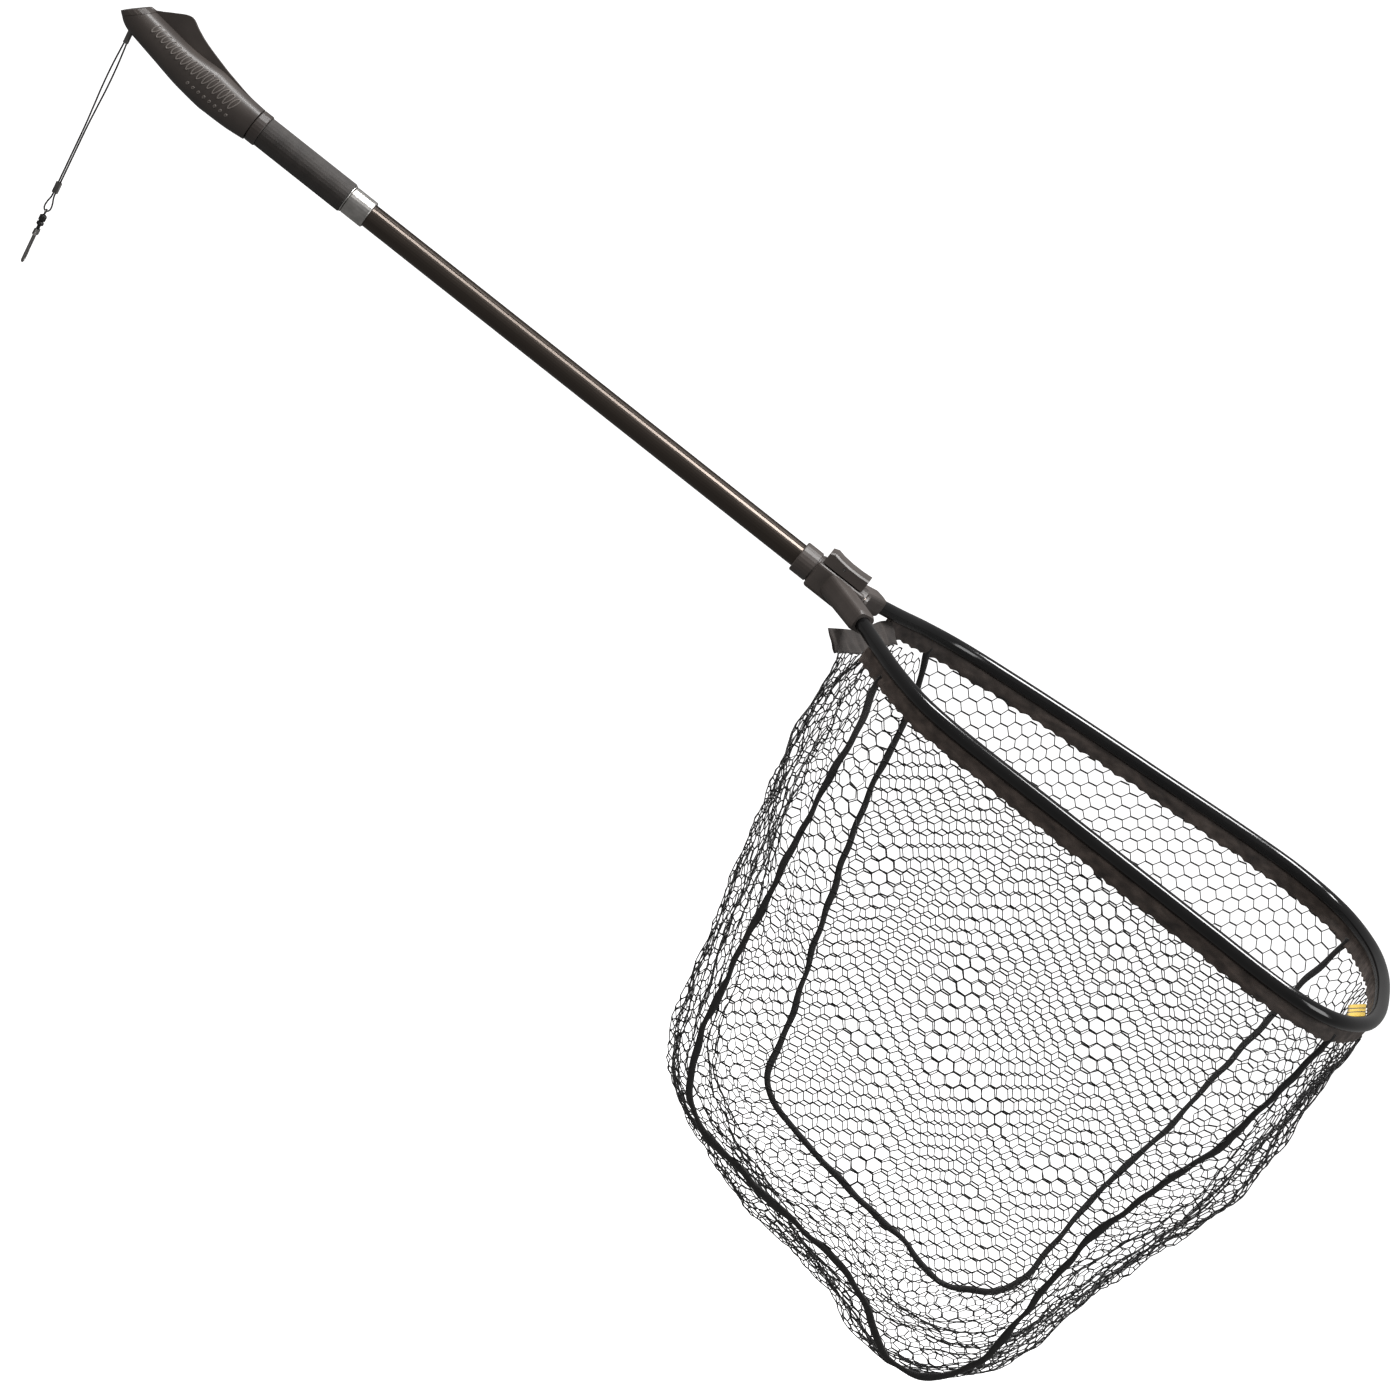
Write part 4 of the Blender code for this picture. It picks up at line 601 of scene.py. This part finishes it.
def cord_braid():
    made = Finish("lanyard_braid", 0.45)
    made.set(Coat_Weight=0.3, Coat_Roughness=0.25)
    stops = ((0.3, (0.006, 0.006, 0.006)), (0.8, (0.028, 0.027, 0.026)))
    made.colour(made.noise(500.0, 3.0), stops)
    made.bump(made.threads(520.0, "DIAGONAL"), 0.0002, 0.8)
    return made.material


# --- Hoop, hem and bag --------------------------------------------------------------

def hoop_route(steps):
    """The hoop tube's centre line, from the near socket round to the far one."""
    start, mouth = np.array(ARM_START), np.array(ARM_MOUTH)
    half = [start, (start + mouth) / 2.0, mouth]
    for share, outward, height in HOOP_RAIL:
        y = mouth[1] + outward * (HOOP_HALF_WIDTH - mouth[1])
        half.append(np.array((mouth[0] + share * HOOP_LENGTH, y, height)))
    for share, width, height in HOOP_TIP:
        half.append(np.array((mouth[0] + share * HOOP_LENGTH, width * HOOP_HALF_WIDTH, height)))
    near = [point * (1.0, -1.0, 1.0) for point in half]
    line = smooth_curve(near + half[-2::-1], steps)
    return line + (HEAD_X, 0.0, 0.0)


RAIL = hoop_route(2)
NEAR_RAIL = RAIL[:len(RAIL) // 2 + 1]


def local_x(share):
    return HEAD_X + ARM_MOUTH[0] + share * HOOP_LENGTH


def rail_y(x):
    return -np.interp(x, NEAR_RAIL[:, 0], NEAR_RAIL[:, 1])


def edge_z(x):
    """Height of the hem's lower edge."""
    return np.interp(x, NEAR_RAIL[:, 0], NEAR_RAIL[:, 2]) - HEM_BOTTOM - GAP


def panel_y(x, z):
    """Distance from the middle to a side panel, which leans in to the floor."""
    share = np.clip((edge_z(x) - z) / (0.92 * BAG_DEPTH), 0.0, 1.0)
    edge = rail_y(x)
    return edge + (BAG_FLOOR_HALF_WIDTH - edge) * share ** BAG_NARROWING


def seam_points(seam, side):
    points = []
    for share, depth in seam:
        x = local_x(share)
        z = -depth * BAG_DEPTH if depth > 0.0 else float(edge_z(x))
        points.append((x, side * float(panel_y(x, z)), z))
    return points


def sweep_rings(path, section):
    """Carry an upright section (offset to the left, height) along a level path."""
    heading = np.gradient(path, axis=0)
    left = unit(np.stack([-heading[:, 1], heading[:, 0], np.zeros(len(path))], axis=1))
    offsets = np.array([pair[0] for pair in section])
    heights = np.array([pair[1] for pair in section])
    rings = path[:, None, :] + left[:, None, :] * offsets[None, :, None]
    rings[:, :, 2] += heights[None, :]
    return rings


def make_hoop(material):
    """The slotted tube, its slot's lips rolled in round the hem."""
    section = []
    for radius, steps, turn in ((HOOP_RADIUS, 36, 1), (HOOP_RADIUS - HOOP_WALL, 20, -1)):
        opening = math.asin(SLOT_HALF_WIDTH / radius)
        arc = []
        for step in range(steps + 1):
            angle = -math.pi / 2.0 + opening + (2.0 * math.pi - 2.0 * opening) * step / steps
            arc.append((radius * math.cos(angle), radius * math.sin(angle)))
        section += arc[::turn]
    rings = sweep_rings(resample(hoop_route(10), 0.005), section)
    hoop = mesh_object("hoop_tube_finish", rings.reshape(-1, 3), skin(rings), material)
    hoop.data.set_sharp_from_angle(angle=math.radians(50))
    return place(hoop, "head", "hoop_black", "hoop_tube")


def cloth_strip(top, bottom, thickness, outward, seed, crease, scallop, rows=11):
    """A closed strip of creased cloth between two lines, thickest in its middle."""
    along = walked(top)[:, None]
    down = np.linspace(0.0, 1.0, rows)[None, :]
    height = np.linalg.norm(bottom - top, axis=1)[:, None] * down
    loose = np.sin(math.pi * np.clip(down, 0.0, 1.0)) * 0.8 + 0.35 * down
    folds = waves(seed, 7, 0.010, 0.034, along + 0.5 * height, height * 0.7) * 0.6
    folds = folds + waves(seed + 1, 5, 0.030, 0.110, along, height)
    shift = crease * loose * folds
    lift = scallop * np.abs(np.sin(math.pi * along / MESH_PITCH)) * down ** 3
    lift = lift + 0.4 * scallop * waves(seed + 2, 4, 0.020, 0.080, along + 0 * down) * down ** 2
    middle = top[:, None, :] * (1.0 - down[..., None]) + bottom[:, None, :] * down[..., None]
    middle = middle + outward[:, None, :] * shift[..., None]
    middle[:, :, 2] += lift
    swell = np.sin(math.pi * np.clip(down * 0.92 + 0.04, 0.0, 1.0)) ** 0.7
    half = thickness * (0.38 + 0.62 * swell)
    front = middle - outward[:, None, :] * half[..., None]
    back = middle + outward[:, None, :] * half[..., None]
    return np.concatenate([front, back[:, ::-1]], axis=1)


def make_hem(material):
    """The sleeve of cloth in the hoop's slot, gathered where the net is sewn on."""
    route = resample(hoop_route(10), 0.0022)
    path = route[route[:, 0] >= local_x(HEM_START)]
    heading = np.gradient(path, axis=0)
    outward = unit(np.stack([heading[:, 1], -heading[:, 0], np.zeros(len(path))], axis=1))
    top = path - (0.0, 0.0, HOOP_RADIUS - HOOP_WALL * 0.5)
    bottom = path - (0.0, 0.0, HEM_BOTTOM + 0.0005)
    rings = cloth_strip(top, bottom, 0.0011, outward, seed=11, crease=0.0009, scallop=SCALLOP)
    hem = mesh_object("hem_band_cloth", rings.reshape(-1, 3), skin(rings), material)
    return place(hem, "head", "hem_nylon", "hem_band", "keder_cord")


def make_bridge(material):
    """The hem's loose stretch that crosses below the yoke, ending in a free flap."""
    offset = Vector((HEAD_X, 0.0, 0.0))
    far, near = BRIDGE_FAR + offset, BRIDGE_NEAR + offset
    sag = Vector(BRIDGE_SAG)
    start_x = local_x(HEM_START) + BRIDGE_INSET
    start = Vector((start_x, float(rail_y(start_x)), BRIDGE_START_Z))
    route = [start, far, far.lerp(near, 0.25) + sag * 0.6, far.lerp(near, 0.5) + sag,
             far.lerp(near, 0.75) + sag * 0.5, near]
    top = resample(smooth_curve(route, 12), 0.0020)
    bottom = top + np.array(BRIDGE_ACROSS)
    heading = unit(np.gradient(top, axis=0))
    outward = unit(np.cross(heading, unit(bottom - top)))
    rings = cloth_strip(top, bottom, 0.0014, outward, seed=23, crease=0.0013, scallop=0.0012)
    bridge = mesh_object("hem_bridge_cloth", rings.reshape(-1, 3), skin(rings), material)
    return place(bridge, "head", "hem_nylon", "hem_bridge")


def zigzags(width, depth):
    """Flat yarns of a hexagonal net, each a row of (across, down) points.

    Neighbouring yarns run side by side where they are twisted together.
    """
    side = MESH_PITCH / math.sqrt(3.0)
    period = 3.0 * side
    level = MESH_PITCH / 2.0
    count = int(depth / level) + 2
    reach = int(width / period) + 2
    yarns = []
    for yarn in range(-1, count):
        points = []
        for step in range(-1, reach):
            start = step * period + (0.0 if yarn % 2 == 0 else 1.5 * side)
            low = yarn * level + TWIST_OFFSET
            high = (yarn + 1) * level - TWIST_OFFSET
            points += [
                (start, low), (start + side, low),
                (start + 1.5 * side, high), (start + 2.5 * side, high),
            ]
        yarns.append(np.array(points))
    return yarns


def strand_rings(points, normals, radius):
    """Four-sided rings round one strand."""
    heading = unit(np.gradient(points, axis=0))
    aside = unit(np.cross(heading, normals))
    over = unit(np.cross(aside, heading))
    return np.stack([
        points + aside * radius, points + over * radius,
        points - aside * radius, points - over * radius,
    ], axis=1)


def knit(name, strands, material):
    """One mesh of closed strands, each given as points and surface normals."""
    verts = []
    faces = []
    for points, normals in strands:
        rings = strand_rings(points, normals, STRAND_RADIUS)
        faces += skin(rings, first=len(verts) * 4)
        verts += list(rings)
    return mesh_object(name, np.concatenate(verts).reshape(-1, 3), faces, material)


def runs(inside):
    """Start and end of each unbroken run of points that are inside."""
    marks = np.flatnonzero(np.diff(np.concatenate([[0], inside.astype(int), [0]])))
    return [(a, b) for a, b in zip(marks[::2], marks[1::2]) if b - a >= 2]


def within(x, z, outline):
    """Which points are inside a closed outline in the upright plane."""
    inside = np.zeros(x.shape, bool)
    for (x0, z0), (x1, z1) in zip(outline, np.roll(outline, -1, axis=0)):
        crosses = (z0 > z) != (z1 > z)
        slope = (x1 - x0) / (z1 - z0 + 1e-12)
        inside ^= crosses & (x < x0 + slope * (z - z0))
    return inside


def make_panel(name, seam, side, seed, material, node):
    """One flat side of the bag in hexagonal netting, cut along its seam."""
    line = smooth_curve(seam_points(seam, side), 6)
    rim_x = np.linspace(line[-1, 0], line[0, 0], 40)[1:-1]
    rim = np.stack([rim_x, edge_z(rim_x) + 0.0035], axis=1)
    outline = np.vstack([line[:, [0, 2]], rim])
    low, high = outline.min(axis=0), outline.max(axis=0)
    centre = (low + high) / 2.0
    span = float(np.linalg.norm(high - low))
    tilt = MESH_TILT * (1.0 if side > 0 else 0.75)
    strands = []
    for yarn in zigzags(span, span):
        flat = yarn - span / 2.0
        x = centre[0] + flat[:, 0] * math.cos(tilt) - flat[:, 1] * math.sin(tilt)
        z = centre[1] + flat[:, 0] * math.sin(tilt) + flat[:, 1] * math.cos(tilt)
        warp_x = PANEL_WARP * waves(seed, 5, 0.10, 0.34, x, z)
        warp_x = warp_x + PANEL_CRINKLE * waves(seed + 3, 6, 0.012, 0.03, x, z)
        warp_z = PANEL_WARP * waves(seed + 1, 5, 0.10, 0.34, x, z)
        x, z = x + warp_x, z + warp_z
        fade = np.clip(walked_in(x, z, outline) / 0.05, 0.0, 1.0)
        billow = PANEL_BILLOW * fade * waves(seed + 2, 5, 0.07, 0.25, x, z)
        y = side * panel_y(x, z) + billow
        points = np.stack([x, y, z], axis=1)
        normals = np.tile((0.0, 1.0, 0.0), (len(points), 1))
        inside = within(x, z, outline)
        for start, end in runs(inside):
            strands.append((points[start:end], normals[start:end]))
    net = knit(name, strands, material)
    return place(net, "head", "net_mesh", node)


def walked_in(x, z, outline):
    """Distance in from the nearest corner of an outline."""
    near = (x[:, None] - outline[None, :, 0]) ** 2 + (z[:, None] - outline[None, :, 1]) ** 2
    return np.sqrt(near.min(axis=1))


def gusset_grid(stations, columns):
    """Points of the strip that runs down, under and up between the side panels."""
    near = smooth_curve(seam_points(NEAR_SEAM, -1), stations)
    far = smooth_curve(seam_points(FAR_SEAM, 1), stations)
    middle = []
    for share, depth in MID_LINE:
        z = -depth * BAG_DEPTH if depth > 0.0 else HOOP_TIP[-1][2] - HEM_BOTTOM - GAP
        middle.append((local_x(share), 0.0, z))
    middle = smooth_curve(middle, stations)
    across = np.linspace(0.0, 1.0, columns)[None, :, None]
    bulge = middle - (near + far) / 2.0
    bulge[:, 1] = 0.0
    swell = 1.0 - (2.0 * across - 1.0) ** 4
    grid = (
        near[:, None, :] * (1.0 - across) + far[:, None, :] * across
        + bulge[:, None, :] * swell
    )
    lift = top_edge(near[0], far[0], columns) - grid[0]
    for row in range(GUSSET_TOP_ROWS):
        grid[row] += lift * (1.0 - row / GUSSET_TOP_ROWS) ** 1.5
    return grid


def top_edge(near_top, far_top, columns):
    """Where the gusset is sewn on: along the hem, then the loose bridge below the yoke."""
    offset = Vector((HEAD_X, 0.0, BRIDGE_LAP)) + BRIDGE_ACROSS
    near_end = np.array(BRIDGE_NEAR + offset)
    far_end = np.array(BRIDGE_FAR + offset)
    halfway = (near_end + far_end) / 2.0 + BRIDGE_SAG
    line = np.array([near_top, near_end, halfway, far_end, far_top])
    reach = walked(line)
    places = np.linspace(0.0, reach[-1], columns)
    return np.stack([np.interp(places, reach, line[:, axis]) for axis in range(3)], axis=1)


def read_grid(grid, row, column):
    """Bilinear reading of a grid of points at fractional rows and columns."""
    rows, columns = grid.shape[0] - 1, grid.shape[1] - 1
    row = np.clip(row, 0.0, rows - 1e-6)
    column = np.clip(column, 0.0, columns - 1e-6)
    r, c = row.astype(int), column.astype(int)
    a, b = (row - r)[:, None], (column - c)[:, None]
    top = grid[r, c] * (1 - b) + grid[r, c + 1] * b
    low = grid[r + 1, c] * (1 - b) + grid[r + 1, c + 1] * b
    return top * (1 - a) + low * a


def make_gusset(material):
    """The crumpled strip of netting round the bag's rear, floor and front."""
    grid = gusset_grid(GUSSET_STATIONS, GUSSET_COLUMNS)
    down = np.gradient(grid, axis=0)
    over = np.gradient(grid, axis=1)
    normal = unit(np.cross(down, over))
    middle = walked(grid[:, GUSSET_COLUMNS // 2])
    length = middle[-1]
    width = GUSSET_LATTICE
    strands = []
    for yarn in zigzags(width, length):
        t, s = yarn[:, 0].copy(), yarn[:, 1].copy()
        s = (
            s + GUSSET_SLACK_DOWN * waves(41, 6, 0.05, 0.22, s, t)
            + GUSSET_CRINKLE * waves(44, 6, 0.015, 0.05, s, t)
        )
        t = (
            t + GUSSET_SLACK_ACROSS * waves(42, 6, 0.05, 0.22, s, t)
            + GUSSET_CRINKLE * waves(45, 6, 0.015, 0.05, s, t)
        )
        row = np.interp(s, middle, np.arange(len(middle)))
        column = t / width * (GUSSET_COLUMNS - 1)
        inside = (s > 0.0) & (s < length) & (t > 0.001) & (t < width - 0.001)
        points = read_grid(grid, row, column)
        normals = read_grid(normal, row, column)
        edge = np.clip(np.minimum(t, width - t) / 0.04, 0.0, 1.0)
        ends = np.clip(np.minimum(s, length - s) / 0.05, 0.0, 1.0)
        fold = waves(43, 8, 0.05, 0.16, s * 0.6, t * 1.4)
        fold = fold + 0.35 * waves(46, 6, 0.02, 0.06, s, t)
        points = points + normals * (GUSSET_FOLD * edge * ends * fold)[:, None]
        for start, end in runs(inside):
            strands.append((points[start:end], unit(normals[start:end])))
    net = knit("bag_gusset_netting", strands, material)
    return place(net, "head", "net_mesh", "bag_gusset")


def make_tape(name, seam, side, seed, material, node):
    """Flat woven tape that binds a side panel's seam."""
    points = seam_points(seam, side)
    tuck = np.array((0.0, 0.0, TAPE_TUCK))
    points = [tuple(points[0] + tuck)] + points + [tuple(points[-1] + tuck)]
    line = resample(smooth_curve(points, 8), 0.0030)
    heading = unit(np.gradient(line, axis=0))
    outward = np.tile((0.0, float(side), 0.0), (len(line), 1))
    aside = unit(np.cross(heading, outward))
    outward = unit(np.cross(aside, heading))
    along = walked(line)
    width = TAPE_HALF_WIDTH * (1.0 + 0.16 * waves(seed, 5, 0.02, 0.08, along))
    wander = 0.0009 * waves(seed + 1, 5, 0.03, 0.12, along)
    line = line + aside * wander[:, None]
    rings = []
    for step in range(12):
        angle = 2.0 * math.pi * (step + 0.5) / 12
        flat = math.copysign(abs(math.cos(angle)) ** 0.6, math.cos(angle))
        thick = math.copysign(abs(math.sin(angle)) ** 0.8, math.sin(angle))
        rings.append(line + aside * (width * flat)[:, None] + outward * (TAPE_HALF_DEPTH * thick))
    rings = np.stack(rings, axis=1)
    tape = mesh_object(name, rings.reshape(-1, 3), skin(rings), material)
    return place(tape, "head", "binding_tape", node)


def make_label(material):
    """A woven tab sewn along its upper edge inside the hem, leaning inward."""
    low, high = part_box("hem_label")
    line = np.zeros((19, 3))
    line[:, 1] = np.linspace(low.y, high.y, len(line))
    top = line + (high.x - 0.0006, 0.0, high.z)
    bottom = line + (low.x, 0.0, low.z)
    heading = unit(np.gradient(top, axis=0))
    outward = unit(np.cross(heading, (0.0, 0.0, 1.0)))
    rings = cloth_strip(
        top, bottom, 0.00045, outward, seed=61, crease=0.0003, scallop=0.0, rows=6,
    )
    label = mesh_object("hem_label_tab", rings.reshape(-1, 3), skin(rings), material)
    return place(label, "head", "label_fabric", "hem_label")


# --- Pommel ---------------------------------------------------------------------------

SECTION_TABLE = smooth_curve([row[:3] for row in POMMEL_SECTIONS], 5)
SECTION_REST = smooth_curve([(row[0], row[3], row[4]) for row in POMMEL_SECTIONS], 5)


def pommel_point(behind, angle, side):
    """A place on the pommel's skin, from its keel at -90 to its crest at 90 degrees."""
    drop = np.interp(behind, SECTION_TABLE[:, 0], SECTION_TABLE[:, 1])
    near_rise = np.interp(behind, SECTION_TABLE[:, 0], SECTION_TABLE[:, 2])
    far_rise = np.interp(behind, SECTION_REST[:, 0], SECTION_REST[:, 1])
    extra = np.interp(behind, SECTION_REST[:, 0], SECTION_REST[:, 2])
    bottom = -SHAFT_RADIUS - drop
    top = SHAFT_RADIUS + (near_rise if side < 0 else far_rise)
    across = max(math.cos(angle), 0.0) ** POMMEL_SQUARENESS
    upward = math.copysign(abs(math.sin(angle)) ** POMMEL_SQUARENESS, angle)
    y = GAP / 2.0 + (SHAFT_RADIUS + extra - GAP / 2.0) * across
    z = (top + bottom) / 2.0 + (top - bottom) / 2.0 * upward
    return Vector((BAND_REAR - GAP - behind, side * y, z))


def pommel_normal(behind, angle, side):
    step = 0.0004
    along = pommel_point(behind + step, angle, side) - pommel_point(behind - step, angle, side)
    around = pommel_point(behind, angle + 0.01, side) - pommel_point(behind, angle - 0.01, side)
    normal = along.cross(around).normalized()
    return normal if normal.y * side > 0.0 else -normal


def cut_off(item, depth):
    """Slice a closed mesh square to the slanted end face and cap it."""
    normal = Vector((-math.sin(END_FACE_ANGLE), 0.0, math.cos(END_FACE_ANGLE)))
    bm = bmesh.new()
    bm.from_mesh(item.data)
    cut = bmesh.ops.bisect_plane(
        bm, geom=bm.verts[:] + bm.edges[:] + bm.faces[:], plane_co=END_FACE_LOW - normal * depth,
        plane_no=normal, clear_outer=True,
    )
    edges = [part for part in cut["geom_cut"] if isinstance(part, bmesh.types.BMEdge)]
    bmesh.ops.holes_fill(bm, edges=edges, sides=0)
    bmesh.ops.recalc_face_normals(bm, faces=bm.faces)
    bm.to_mesh(item.data)
    bm.free()


def solid_box(name, low, high):
    corners = [
        (x, y, z)
        for x in (low[0], high[0]) for y in (low[1], high[1]) for z in (low[2], high[2])
    ]
    faces = ((0, 1, 3, 2), (4, 6, 7, 5), (0, 4, 5, 1), (2, 3, 7, 6), (0, 2, 6, 4), (1, 5, 7, 3))
    return mesh_object(name, corners, faces, bpy.data.materials.new(name), smooth=False)


def solid_rod(name, start, end, radius, sides=40):
    start, end = Vector(start), Vector(end)
    turn = (end - start).to_track_quat("Z", "X")
    rings = []
    for spot in (start, end):
        ring = []
        for step in range(sides):
            angle = 2.0 * math.pi * step / sides
            spoke = Vector((radius * math.cos(angle), radius * math.sin(angle), 0.0))
            ring.append(spot + turn @ spoke)
        rings.append(ring)
    rings = np.array(rings)
    blank = bpy.data.materials.new(name)
    return mesh_object(name, rings.reshape(-1, 3), skin(rings), blank, smooth=False)


def carve(item, tool):
    """Cut a tool out of a mesh for good, and remove the tool."""
    modifier = item.modifiers.new("cut", "BOOLEAN")
    modifier.operation = "DIFFERENCE"
    modifier.object = tool
    bpy.context.view_layer.update()
    evaluated = item.evaluated_get(bpy.context.evaluated_depsgraph_get())
    shape = bpy.data.meshes.new_from_object(evaluated)
    item.modifiers.clear()
    item.data = shape
    bpy.data.objects.remove(tool, do_unlink=True)


def make_shell(name, side, material, node):
    """One half of the pommel as a smooth shell, open for the shaft and lanyard."""
    rings = []
    for behind in np.linspace(POMMEL_SECTIONS[0][0], POMMEL_SECTIONS[-1][0], 64):
        angles = np.linspace(-math.pi / 2.0, math.pi / 2.0, 34)
        rings.append([pommel_point(behind, angle, side) for angle in angles])
    rings = np.array(rings)
    shell = mesh_object(name, rings.reshape(-1, 3), skin(rings), material)
    cut_off(shell, END_CAP_THICKNESS + GAP)
    bore_ends = (SHELL_BORE_REAR, 0, 0), (BAND_REAR + 0.01, 0, 0)
    carve(shell, solid_rod("shell_bore", *bore_ends, BORE_RADIUS))
    carve(shell, solid_box("shell_pocket", *LANYARD_POCKET))
    shell.data.materials.clear()
    shell.data.materials.append(material)
    shell.data.shade_smooth()
    shell.data.set_sharp_from_angle(angle=math.radians(38))
    return place(shell, "handle", "grip_plastic", node)


def skin_ring(centre, tilt, half_length, half_width, radius, side, steps=26):
    """A raised oval outline on the pommel's skin, as a closed bead."""
    behind, angle = centre
    around = 1.0 / (SHAFT_RADIUS + 0.008)
    loop = []
    for step in range(steps):
        turn = 2.0 * math.pi * step / steps
        up = half_length * math.sin(turn)
        along = half_width * math.cos(turn) + tilt * up
        loop.append((behind + along, angle + up * around))
    points = np.array([pommel_point(b, a, side) for b, a in loop])
    normals = np.array([pommel_normal(b, a, side) for b, a in loop])
    heading = unit(np.roll(points, -1, axis=0) - np.roll(points, 1, axis=0))
    aside = unit(np.cross(heading, normals))
    rings = []
    for corner in range(8):
        turn = 2.0 * math.pi * corner / 8
        rings.append(points + aside * radius * math.cos(turn) + normals * radius * math.sin(turn))
    return np.stack(rings, axis=1)


def make_ribs(material):
    """Raised ovals and a row of studs on each side of the pommel."""
    beads = []
    for side in (-1, 1):
        for rib in range(RIB_COUNT):
            centre = (RIB_START + rib * RIB_PITCH, RIB_ANGLE + RIB_CLIMB * rib)
            beads.append(skin_ring(centre, RIB_LEAN, 0.0066, 0.0021, 0.00066, side))
        for stud in range(STUD_COUNT):
            centre = (RIB_START + stud * RIB_PITCH, STUD_ANGLE)
            beads.append(skin_ring(centre, RIB_LEAN, 0.0012, 0.0009, 0.0007, side, 12))
    verts = []
    faces = []
    count = 0
    for rings in beads:
        faces += skin(rings, closed_ends=False, first=count, closed_loop=True)
        verts.append(rings.reshape(-1, 3))
        count += rings.shape[0] * rings.shape[1]
    ribs = mesh_object("pommel_grip_ribs", np.concatenate(verts), faces, material)
    return place(ribs, "handle", "grip_plastic")


# --- Lanyard fittings ------------------------------------------------------------------

def knurled(name, profile, ridges, depth, material, body, slot, node):
    """A turned piece on the lanyard's line with ridges along it."""
    sides = ridges * 4
    rings = []
    for radius, distance, share in profile:
        ring = []
        for step in range(sides):
            angle = 2.0 * math.pi * step / sides
            edge = radius + depth * share * (0.5 + 0.5 * math.cos(angle * ridges))
            ring.append(hang(distance, edge * math.cos(angle), edge * math.sin(angle)))
        rings.append(ring)
    rings = np.array(rings)
    piece = mesh_object(name, rings.reshape(-1, 3), skin(rings), material)
    piece.data.set_sharp_from_angle(angle=math.radians(40))
    return place(piece, body, slot, node)


def make_swivel(material):
    radius = BARREL_RADIUS
    knurled(
        "swivel_barrel_knurled",
        (
            (0.0013, BARREL_START + 0.0006, 0.0), (radius - 0.0005, BARREL_START + 0.0014, 0.2),
            (radius, BARREL_START + 0.0022, 1.0), (radius, SWIVEL_GAP - 0.0012, 1.0),
            (radius - 0.0006, SWIVEL_GAP - 0.0004, 0.2),
        ),
        KNURL_RIDGES, KNURL_DEPTH, material, "lanyard", "swivel_black", "swivel_barrel",
    )
    knurled(
        "hook_collar_knurled",
        (
            (radius - 0.0006, SWIVEL_GAP, 0.2), (radius, SWIVEL_GAP + 0.0010, 1.0),
            (radius, SWIVEL_GAP + 0.0030, 1.0), (0.0017, SWIVEL_GAP + 0.0042, 0.0),
            (0.0017, SWIVEL_GAP + 0.0072, 0.0),
        ),
        KNURL_RIDGES, KNURL_DEPTH, material, "hook", "swivel_black", "hook_collar",
    )


# --- Finishes of the CAD pieces that stay ---------------------------------------------

def dress(finishes):
    """Give each CAD node that is still shown the finish of its record slot."""
    slots = {row["node"]: row["material_slot"] for row in frame["record"]["subparts"]}
    for name, node in frame["nodes"].items():
        if node.hide_render:
            continue
        node.data.materials.clear()
        node.data.materials.append(finishes[slots[name]])


def main():
    braid = cord_braid()
    make_camera()
    make_cord(braid)
    make_stage()
    plastic = moulded_plastic(
        "grip_plastic_grain", (0.030, 0.025, 0.023), (0.048, 0.041, 0.037), 0.40, 0.0,
    )
    # A paler copy of the grip plastic for the ribs and studs: painted highlight on raised edges
    # that catch the light.
    rib_painted_highlight = moulded_plastic(
        "grip_ribs_painted_highlight", (0.085, 0.075, 0.069), (0.125, 0.112, 0.104), 0.45, 0.0,
    )
    finishes = {
        "shaft_metal": anodised(
            "shaft_bronze", (0.060, 0.049, 0.042), (0.086, 0.071, 0.061), 0.30,
        ),
        "grip_plastic": plastic,
        "grip_rubber": grip_rubber(),
        "collar_metal": bare_metal("collar_satin", (0.42, 0.41, 0.39), (0.60, 0.58, 0.56), 0.34),
        "bright_steel": bare_metal("steel_plain", (0.20, 0.195, 0.19), (0.34, 0.33, 0.32), 0.32),
        "yoke_plastic": moulded_plastic(
            "yoke_nylon", (0.038, 0.032, 0.029), (0.060, 0.051, 0.047), 0.44,
        ),
        "bush_plastic": moulded_plastic(
            "bush_black", (0.010, 0.010, 0.010), (0.02, 0.02, 0.02), 0.4,
        ),
        "hoop_black": gloss_black(),
        "hem_nylon": hem_cloth("hem_nylon_weave", 1.0),
        "binding_tape": tape_cloth(),
        "net_mesh": net_rubber(),
        "label_fabric": label_cloth(),
        "ferrule_metal": bare_metal(
            "ferrule_dull", (0.16, 0.155, 0.15), (0.28, 0.27, 0.26), 0.42,
        ),
        "lanyard_cord": braid,
        "swivel_black": moulded_plastic(
            "swivel_enamel", (0.006, 0.006, 0.006), (0.014, 0.014, 0.014), 0.3,
        ),
    }
    make_hoop(finishes["hoop_black"])
    make_hem(finishes["hem_nylon"])
    # The bridge is the hem's cloth at 0.40 shade: painted shade for cloth lying under the far
    # tube.
    make_bridge(hem_cloth("hem_bridge_painted_shade", 0.40))
    make_panel("net_near_netting", NEAR_SEAM, -1, 71, finishes["net_mesh"], "net_near_panel")
    make_panel("net_far_netting", FAR_SEAM, 1, 81, finishes["net_mesh"], "net_far_panel")
    make_gusset(finishes["net_mesh"])
    make_tape("near_tape_woven", NEAR_SEAM, -1, 91, finishes["binding_tape"], "near_binding_tape")
    make_tape("far_tape_woven", FAR_SEAM, 1, 95, finishes["binding_tape"], "far_binding_tape")
    make_label(finishes["label_fabric"])
    make_shell("pommel_near_skin", -1, plastic, "pommel_near_shell")
    make_shell("pommel_far_skin", 1, plastic, "pommel_far_shell")
    make_ribs(rib_painted_highlight)
    make_swivel(finishes["swivel_black"])
    dress(finishes)


main()
